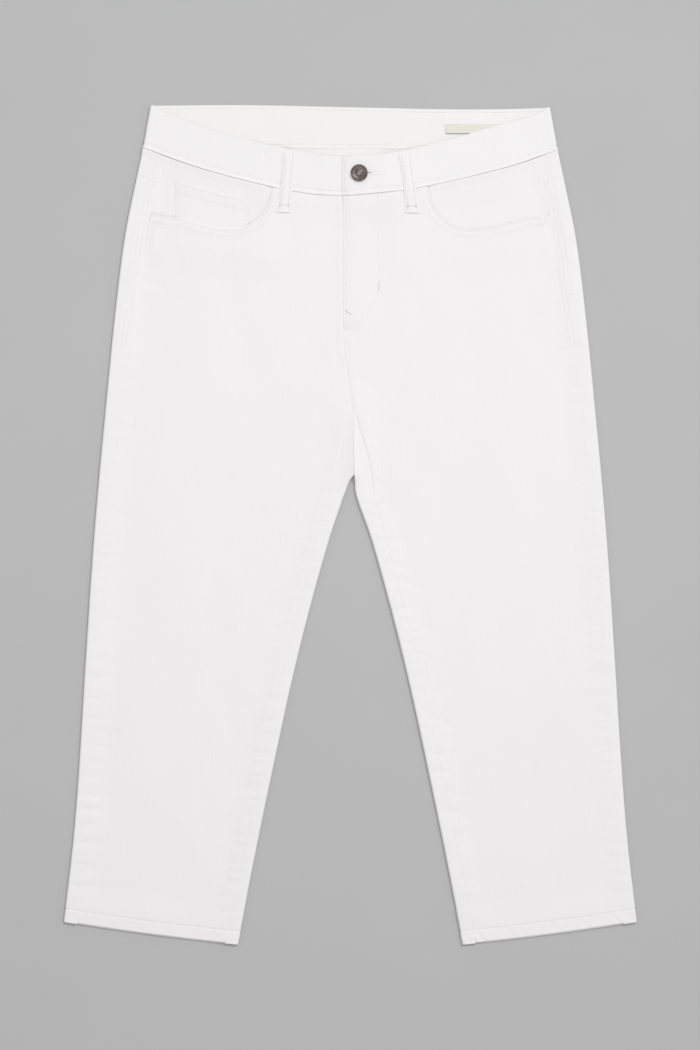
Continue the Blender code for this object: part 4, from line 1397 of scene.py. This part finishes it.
def add_facing(side, wearer):
    """Hip facing that shows in the pocket's scoop and fills the side up to the waistband."""
    node = f"hip_facing_{wearer}"
    high_x = seam_across(BAND_BACK_LOW) - SEAM
    low_x = seam_across(facing_low(high_x)) - CLOSE_SEAM
    u = graded(140.0, 24.0, 4.0, coarse=1.5)
    v = graded(70.0, 4.0, 12.0, coarse=1.25)
    x = blend(low_x, FACING_INNER, u)
    low = plan(side * x, facing_low(x))
    x = side * blend(high_x, FACING_INNER, u)
    high = plan(x, BAND_LOW.at(x) - SEAM)
    left = side_seam(side, blend(facing_low(low_x), high[0, 1], v))
    right = blend(low[-1], high[-1], v[:, None])
    spots = coons(low, high, left, right, u, v)
    x, y = spots[..., 0], spots[..., 1]
    points = place(x, y, upper_lay(x, y) + FACING_CLOTH)
    relief = unevenness(x, y, 6) + side_relief(side, x, y) + waist_relief(x, y)
    relief += meet_band(x, y, FACING_MEET) * smooth((np.abs(x) - POCKET_EDGE.keys[0] - 3.0) / 8.0)
    at_side = fade(seam_distance(x, y) / 8.0) * smooth((y - FACING_SIDE_MEET_FROM) / 5.0)
    relief += FACING_SIDE_MEET * at_side
    relief += groove(pocket_distance(x, y), 0.75, 1.5) * (1.0 if side > 0 else toward_side(-x))
    radii = (0.4, SEAM_RADIUS, FLAT_SEAM_RADIUS, 0.4)
    made = add_wall(node, points, UP, FACING_CLOTH, DENIM, relief, radii, flip=side > 0)
    return complete(made, node, points)


def coin_top(x):
    return blend(COIN_OUTER[1], COIN_INNER[1], (x - COIN_OUTER[0]) / (COIN_INNER[0] - COIN_OUTER[0]))


def coin_relief(x, y):
    from_top = coin_top(x) - y
    rise = groove(from_top - NEAR_ROW, 0.22) + groove(from_top - COIN_SECOND_ROW, 0.3)
    rise += ledge(from_top, 0.25, COIN_SECOND_ROW + 1.0)
    from_side = np.minimum(x - COIN_OUTER[0], COIN_INNER[0] - x)
    rise -= COIN_PRESSED * fade(from_side / 12.0) * blend(0.8, 1.0, smooth((from_top - 6.0) / 10.0))
    return rise + puckers(from_top - 6.0, x, COIN_OUTER[0], COIN_INNER[0], 15, 7.0, 9.0, 0.22)


def add_coin_pocket():
    u = graded(72.0, 8.0, 8.0, coarse=2.4)[None, :]
    v = graded(50.0, 3.0, 16.0, coarse=2.4)[:, None]
    x = blend(COIN_OUTER[0], COIN_INNER[0], u) + 0 * v
    y = blend(facing_low(np.abs(x)) + COIN_TUCK, coin_top(x), v)
    points = place(x, y, upper_lay(x, y) + COIN_FACE)
    made = add_wall("coin_pocket", points, UP, FACING_CLOTH, DENIM, coin_relief(x, y), (0.4, 0.3, 0.1, 0.1))
    x = np.arange(COIN_OUTER[0] + 3.0, COIN_INNER[0] - 2.0, ROW_POINTS)
    lines = [(x, coin_top(x) - row) for row in (NEAR_ROW, COIN_SECOND_ROW)]
    for x in (COIN_OUTER[0] + NEAR_ROW, COIN_INNER[0] - NEAR_ROW):
        y = np.arange(303.0, coin_top(x) - 2.0, ROW_POINTS)
        lines.append((x + 0 * y, y))
    sewing = sew_lines(lines, lambda x, y: upper_lay(x, y) + COIN_FACE + coin_relief(x, y))
    return complete(made, "coin_pocket", points, sewing)


# ---------------------------------------------------------------- waistband


def band_front(x, v, lap):
    """Points of the front run, x along its lower edge and v up its depth, and the way out."""
    x, v = np.broadcast_arrays(x, v)
    toward_fold = np.sign(x) * BAND_FOLD_RADIUS * (np.abs(x) / BAND_REACH) ** 12
    high_x = x * BAND_HIGH_SHARE
    top = BAND_FACE + (band_lap(x) if lap else 0.0)
    low = place(x - toward_fold, BAND_LOW.at(x - toward_fold), top)
    high = place(high_x - toward_fold, BAND_HIGH.at(high_x), top)
    return blend(low, high, v[..., None]), np.broadcast_to(UP, low.shape)


def band_fold(side, turn, v):
    """Points round the waistband's side fold, and the way out."""
    turn, v = np.broadcast_arrays(turn, v)
    inset = side * BAND_FOLD_RADIUS * (1 - np.sin(turn))
    height = BAND_FOLD_RADIUS * (1 + np.cos(turn))
    low_x = side * BAND_REACH - inset
    low = place(low_x, np.where(height > BAND_FOLD_RADIUS, BAND_LOW.at(low_x), BAND_BACK_LOW), height)
    high = place(side * BAND_HIGH.keys[-1] - inset, BAND_TOP.rows[-1, 1], height)
    out = np.stack([side * np.sin(turn), 0 * turn, np.cos(turn)], axis=-1)
    return blend(low, high, v[..., None]), out


def band_back(x, v):
    """Points of the back run, which lies on the surface, and the way out."""
    x, v = np.broadcast_arrays(x, v)
    high_x = x * BAND_HIGH_SHARE
    low, high = place(x, BAND_BACK_LOW, 0.0), place(high_x, BAND_TOP.at(high_x), 0.0)
    return blend(low, high, v[..., None]), np.broadcast_to(-UP, low.shape)


def band_grid():
    """The waistband's grid from the lap's end round the back to the underlap."""
    v = graded(39.0, 8.0, 6.0, fine=1.1, coarse=2.2)[:, None]
    edge = [BAND_END + step for step in EDGE_STEPS[:-1]]
    lap_x = np.array(edge + steps_between(BAND_END + EDGE, BAND_REACH, 1.6))
    under_edge = [BAND_UNDERLAP - step for step in EDGE_STEPS]
    under_x = np.array(under_edge + steps_between(under_edge[-1], -BAND_REACH, -3.0)[1:])
    back_x = np.linspace(BAND_REACH - BAND_FOLD_RADIUS, BAND_FOLD_RADIUS - BAND_REACH, 150)[1:-1]
    parts = (
        band_front(lap_x, v, True),
        band_fold(1, FOLD_TURNS, v),
        band_back(back_x, v),
        band_fold(-1, FOLD_TURNS[::-1], v),
        band_front(under_x[::-1], v, False),
    )
    return [np.concatenate(part, axis=1) for part in zip(*parts)]


def band_relief(points, out):
    """The waistband's stitched edges on the outside; nothing stands out of its underside."""
    x, y, z = np.moveaxis(points, -1, 0)
    low, _ = reach_along(points, 0)
    rise = 0.6 * fade(low / 3.4) + groove(low - BAND_ROW, 0.5, 1.1)
    rise += groove(x - BAND_END, 1.4, 4.5) * (out[..., 2] > 0.5) * (z > BAND_LAP)
    rise += puckers(low - BAND_ROW, x, -210.0, 210.0, 33, 7.5, 7.0, 0.16)
    rise += unevenness(x, y, 9, 0.08)
    return np.where(out[..., 2] < -0.5, np.minimum(rise, 0.0), rise)


def band_inner_relief(points):
    """The waistband's inside, which shows at the back: stitched edges and the centre back mark."""
    x, y = points[..., 0], points[..., 1]
    low, high = reach_along(points, 0)
    rise = groove(low - BAND_ROW, 0.35) + groove(high - BAND_TOP_ROW, 0.25, 0.8)
    rise += 0.15 * bell(low - 2.0, 1.5) + groove(x + 1.3, 0.3) * fade((y - 386.0) / 4.0)
    from_front = y + LEAN * x - BAND_HIGH.at(x)
    rise += groove(from_front - 0.7, 1.4, 0.8) * fade((np.abs(x) - 60.0) / 20.0)
    return rise + unevenness(x, y, 11, 0.12)


def buttonhole_outline(length, width):
    """A round eye at the button and a slit of this length and end width along the waistband."""
    half_slit = math.asin(BUTTONHOLE_SLIT / 2 / EYE_RADIUS)
    turns = np.linspace(half_slit, 2 * math.pi - half_slit, 23)
    outline = [(EYE_RADIUS * math.cos(turn), EYE_RADIUS * math.sin(turn)) for turn in turns]
    rim = (BUTTON_RADIUS + 1.0, BUTTONHOLE_SLIT / 2)
    end = (length - 1.2, width / 2)
    return np.array(outline + [(rim[0], -rim[1]), (end[0], -end[1]), (length, 0.0), end, rim])


def cut_buttonhole(band):
    """Cut the keyhole through the lap with a prism, which goes again."""
    x, y = (buttonhole_outline(*BUTTONHOLE_OPEN) + BUTTONHOLE_AT).T
    points = np.concatenate([place(x, y, z) for z in (BAND_LAP - 0.15, LAP_FACE + 1.5)]) * MM
    count = len(x)
    faces = [list(range(count))[::-1], list(range(count, 2 * count))]
    faces += [(k, (k + 1) % count, (k + 1) % count + count, k + count) for k in range(count)]
    mesh = bpy.data.meshes.new("buttonhole_cutter")
    mesh.from_pydata([tuple(p) for p in points], [], faces)
    cutter = add_object("buttonhole_cutter", mesh)
    cut = band.modifiers.new("buttonhole", "BOOLEAN")
    cut.operation = "DIFFERENCE"
    cut.solver = "EXACT"
    cut.object = cutter
    depsgraph = bpy.context.evaluated_depsgraph_get()
    done = bpy.data.meshes.new_from_object(band.evaluated_get(depsgraph))
    band.modifiers.clear()
    band.data = done
    bpy.data.objects.remove(cutter)


def sew_band():
    sewing = Sewing()
    lap_x = np.arange(BAND_END + 3.0, BAND_REACH - 0.5, ROW_POINTS)
    right_x = np.arange(-BAND_REACH + 0.5, BAND_END - 1.0, ROW_POINTS)
    for x, lap in ((lap_x, True), (right_x, False)):
        depth = np.linalg.norm(band_front(x, 1.0, lap)[0] - band_front(x, 0.0, lap)[0], axis=-1)
        sewing.row(band_front(x, BAND_ROW / depth, lap)[0] - UP * 0.4)
    sewing.row(band_front(BAND_END + 2.6, np.linspace(0.12, 0.9, 30), True)[0] - UP * 0.55)
    back_x = np.arange(-BAND_REACH + 8.0, BAND_REACH - 8.0, ROW_POINTS)
    for v in (BAND_ROW / BAND_DEPTH, 1 - BAND_TOP_ROW / BAND_DEPTH):
        sewing.row(band_back(back_x, v)[0] + UP * (BAND_CLOTH - 0.1))
    sew_buttonhole(sewing)
    return sewing


def sew_buttonhole(sewing):
    """Close threads across the buttonhole's edge, which meet where it is pulled shut."""
    outline = buttonhole_outline(*BUTTONHOLE_STITCHED)
    outline = np.concatenate([outline, outline[:1]])
    at = lengths(outline)
    spots = pick(outline, at, np.arange(0.0, at[-1], BUTTONHOLE_PITCH))
    start, end = [place(*(spots + right_of(spots) * reach + BUTTONHOLE_AT).T, LAP_FACE - 0.06)
                  for reach in (0.1, 2.6)]
    sewing.thread(start, end, UP, 0.24)


def add_waistband():
    points, out = band_grid()
    inner_relief = band_inner_relief(points) * (out[..., 2] < -0.5)
    made = add_wall("waistband", points, out, BAND_CLOTH, BAND_DENIM, band_relief(points, out),
                    (0.28, 0.4, 0.3, 0.6), inner_relief)
    cut_buttonhole(made)
    use_inside(made, BAND_CLOTH / 2)
    return complete(made, "waistband", points, sew_band())


# ---------------------------------------------------------------- belt loops, label and button


def front_loop(side, t, k):
    """Points of a front loop's outer face, t up its length and k across it, and its width."""
    t, k = np.broadcast_arrays(t, k)
    (top_x, top_y), (low_x, low_y) = FRONT_LOOPS[side]
    width = LOOP_WIDTH * (1 - LOOP_WAIST * np.sin(math.pi * t))
    x = blend(low_x, top_x, t) + width * (k - 0.5)
    y = blend(low_y, top_y, t)
    edge = BAND_LOW.at(x)
    on_body = front_top(side, x, np.minimum(y, edge)) + LAY_GAP
    on_band = BAND_FACE + LAY_GAP + (band_lap(x) if side > 0 else 0.0)
    past_edge = fade((edge - LOOP_CLEAR - y) / LOOP_STEP)
    return place(x, y, blend(on_body, on_band, past_edge) + LOOP_CLOTH), width


def add_loop(side, wearer):
    """A belt loop: a folded strip with two rows of stitches and a raised middle, tacked down."""
    node = f"belt_loop_front_{wearer}"
    t = graded(LOOP_LENGTH, 6.0, 6.0, fine=1.2, coarse=1.6)[:, None]
    k = graded(14.0, 7.0, 7.0, fine=0.9)[None, :]
    points, width = front_loop(side, t, k)
    from_edge = np.minimum(k, 1 - k) * width
    relief = groove(from_edge - LOOP_ROW, 0.12, 0.8) - 0.85 * fade(from_edge / 6.5)
    relief += 0.8 * bell(t * LOOP_LENGTH, 2.5) - 0.3 * bell((t - LOOP_TACK) * LOOP_LENGTH, 3.6)
    relief = np.maximum(relief - LOOP_PRESSED * fade((1 - t) * LOOP_LENGTH / 5.0), -LOOP_PRESSED)
    made = add_wall(node, points, UP, LOOP_CLOTH, LOOP_DENIM, relief, (0.15, 0.05, 0.12, 0.12))
    sewing = Sewing()
    for share in (LOOP_ROW / LOOP_WIDTH, 1 - LOOP_ROW / LOOP_WIDTH):
        path, _ = front_loop(side, np.linspace(0.03, 0.97, 60), share)
        sewing.row(path - UP * 0.1)
    ends, _ = front_loop(side, LOOP_TACK, np.array((0.1, 0.9)))
    sewing.tack(*(ends - UP * 0.45), radius=0.2)
    return complete(made, node, points, sewing)


def add_label():
    (left, low), (length, height) = LABEL_AT, LABEL_SIZE
    u = graded(length, 5.0, 5.0, coarse=1.6)[None, :]
    v = graded(height, 2.0, 2.0, fine=0.4, coarse=0.9)[:, None]
    x, y = np.broadcast_arrays(left + length * u, low + height * v)
    points = place(x, y, LABEL_FACE)
    bend = 0.25 * np.sin(x * 0.11) + 0.15 * np.sin(x * 0.043 + 1.0)
    relief = 0.2 * bend + groove(x - left - LABEL_SEWN, 0.25, 0.7)
    made = add_wall("label", points, UP, LABEL_CLOTH, LABEL, relief, (0.3,) * 4)
    # The faces along the label's lower edge get the dark brown painted shadow
    edge = (points[0, :, 1].max() + LABEL_PAINTED_SHADOW_WIDTH) * MM
    refinish(made, LABEL_PAINTED_SHADOW, lambda face: face.center.y < edge)
    sewing = Sewing()
    y = np.linspace(low + 0.6, low + height - 0.6, 12)
    for x in (left + LABEL_SEWN, left + length - LABEL_SEWN):
        sewing.row(place(x, y, LABEL_FACE), pitch=1.7, length=1.3, radius=0.2)
    return complete(made, "label", points, sewing, turned_in=LABEL_TURNED_IN)


# The button's cap as radius and depth below its top, and its rings of beads as radius, number of beads,
# size of a bead and depth below the top
CAP_PROFILE = ((0.02, 0.35), (1.6, 0.42), (3.0, 0.62), (3.6, 0.85), (3.9, 1.0), (4.4, 0.85), (4.7, 0.7),
               (6.2, 0.62), (6.7, 0.45), (7.1, 0.12), (7.5, 0.0), (8.0, 0.12), (8.35, 0.5),
               (BUTTON_RADIUS, 1.1), (8.35, 1.7))
CAP_STEPS = 72
BEAD_STEPS = 8
BEAD_TURNS = np.linspace(1.57, -0.5, 5)
BEAD_RINGS = ((5.45, 26, 0.46, 0.75), (7.5, 34, 0.36, 0.1), (2.2, 8, 0.3, 0.5))


def turned(profile, steps, centre):
    """Points and quads of a profile turned about the upright line through a plan point."""
    turns = 2 * math.pi * np.arange(steps) / steps
    radius, height = np.array(profile).T[..., None]
    x, y = radius * np.cos(turns) + centre[0], radius * np.sin(turns) + centre[1]
    points = np.stack([x, y, height + 0 * turns], axis=-1)
    return points.reshape(-1, 3), np.array(tube_quads(len(profile), steps))[:, ::-1]


def add_button():
    """Jeans button: a dark cap with a rolled rim, a low middle and three rings of worn beads."""
    spot = place(*BUTTON_AT, 0.0)
    foot, back = LAP_FACE + GAP, BAND_FACE + GAP
    top = foot + BUTTON_DEPTH
    profile = [(radius, top - depth) for radius, depth in CAP_PROFILE]
    profile += [(8.0, foot + 0.2), (7.4, foot), (SHANK_RADIUS, foot), (SHANK_RADIUS, back), (0.02, back)]
    parts = [turned(profile, CAP_STEPS, spot)]
    for ring, count, size, depth in BEAD_RINGS:
        dot = [(size * math.cos(a) + 0.005, top - depth + size * math.sin(a)) for a in BEAD_TURNS]
        for k in range(count):
            turn = 2 * math.pi * (k + 0.25) / count
            centre = (spot[0] + ring * math.cos(turn), spot[1] + ring * math.sin(turn))
            parts.append(turned(dot, BEAD_STEPS, centre))
    firsts = np.cumsum([0] + [len(points) for points, _ in parts])
    quads = np.concatenate([quads + first for (_, quads), first in zip(parts, firsts)])
    made = add_quads("button_metal", np.concatenate([points for points, _ in parts]), quads, METAL)
    cap_faces = len(parts[0][1])
    refinish(made, WORN_METAL, lambda face: face.index >= cap_faces)
    return dress(made, "button")


# ---------------------------------------------------------------- stage


def add_floor():
    reach, level = 6.0, -0.0004
    mesh = bpy.data.meshes.new("floor")
    corners = [(-reach, -reach, level), (reach, -reach, level), (reach, reach, level), (-reach, reach, level)]
    mesh.from_pydata(corners, [], [(0, 1, 2, 3)])
    finish = Finish("pale_floor")
    tones = (0.47, 0.47, 0.475), (0.49, 0.49, 0.495)
    mesh.materials.append(finish.made(finish.noise(0.01), *tones, Roughness=0.9))
    made = add_object("floor", mesh)
    return made


def add_area_light(name, location, target, size, power):
    light = bpy.data.lights.new(name, "AREA")
    light.shape = "RECTANGLE"
    light.size, light.size_y = size, size
    light.energy = power
    made = add_object(name, light)
    made.location = location
    away = Vector(location) - Vector(target)
    made.rotation_euler = away.to_track_quat("Z", "Y").to_euler()
    made.visible_camera = False


def add_lights():
    """A soft key from the upper right and a weak one overhead, which falls off towards the hems."""
    add_area_light("key", (2.4, 3.0, 5.4), (0.0, 0.0, 0.0), 1.5, 137.0)
    add_area_light("overhead", (0.02, 0.2, 1.5), (0.02, 0.2, 0.0), 0.4, 4.4)
    world = bpy.data.worlds.new("studio")
    world.use_nodes = True
    background = world.node_tree.nodes["Background"]
    background.inputs["Color"].default_value = (1.0, 1.0, 1.0, 1.0)
    background.inputs["Strength"].default_value = 0.59
    bpy.context.scene.world = world


def add_camera():
    """Straight above, with one pixel of the 700 by 1050 frame for each millimetre of cloth."""
    camera = bpy.data.cameras.new("camera")
    camera.sensor_fit = "VERTICAL"
    camera.sensor_height = 36.0
    camera.lens = 85.0
    frame_height = 1.05
    made = add_object("camera", camera)
    made.location = (-0.0003, -0.0002, frame_height * camera.lens / camera.sensor_height)
    bpy.context.scene.camera = made


def main():
    add_camera()
    floor = add_floor()
    add_lights()
    bpy.context.scene.view_settings.view_transform = "Standard"
    sides = ((-1, "right"), (1, "left"))
    for side, wearer in sides:
        back = add_back(side, wearer)
        add_yoke(side, wearer)
        facing = add_facing(side, wearer)
        add_front(side, wearer)
        if side < 0:
            add_coin_pocket()
    band = add_waistband()
    for side, wearer in sides:
        add_loop(side, wearer)
    add_label()
    add_button()


main()
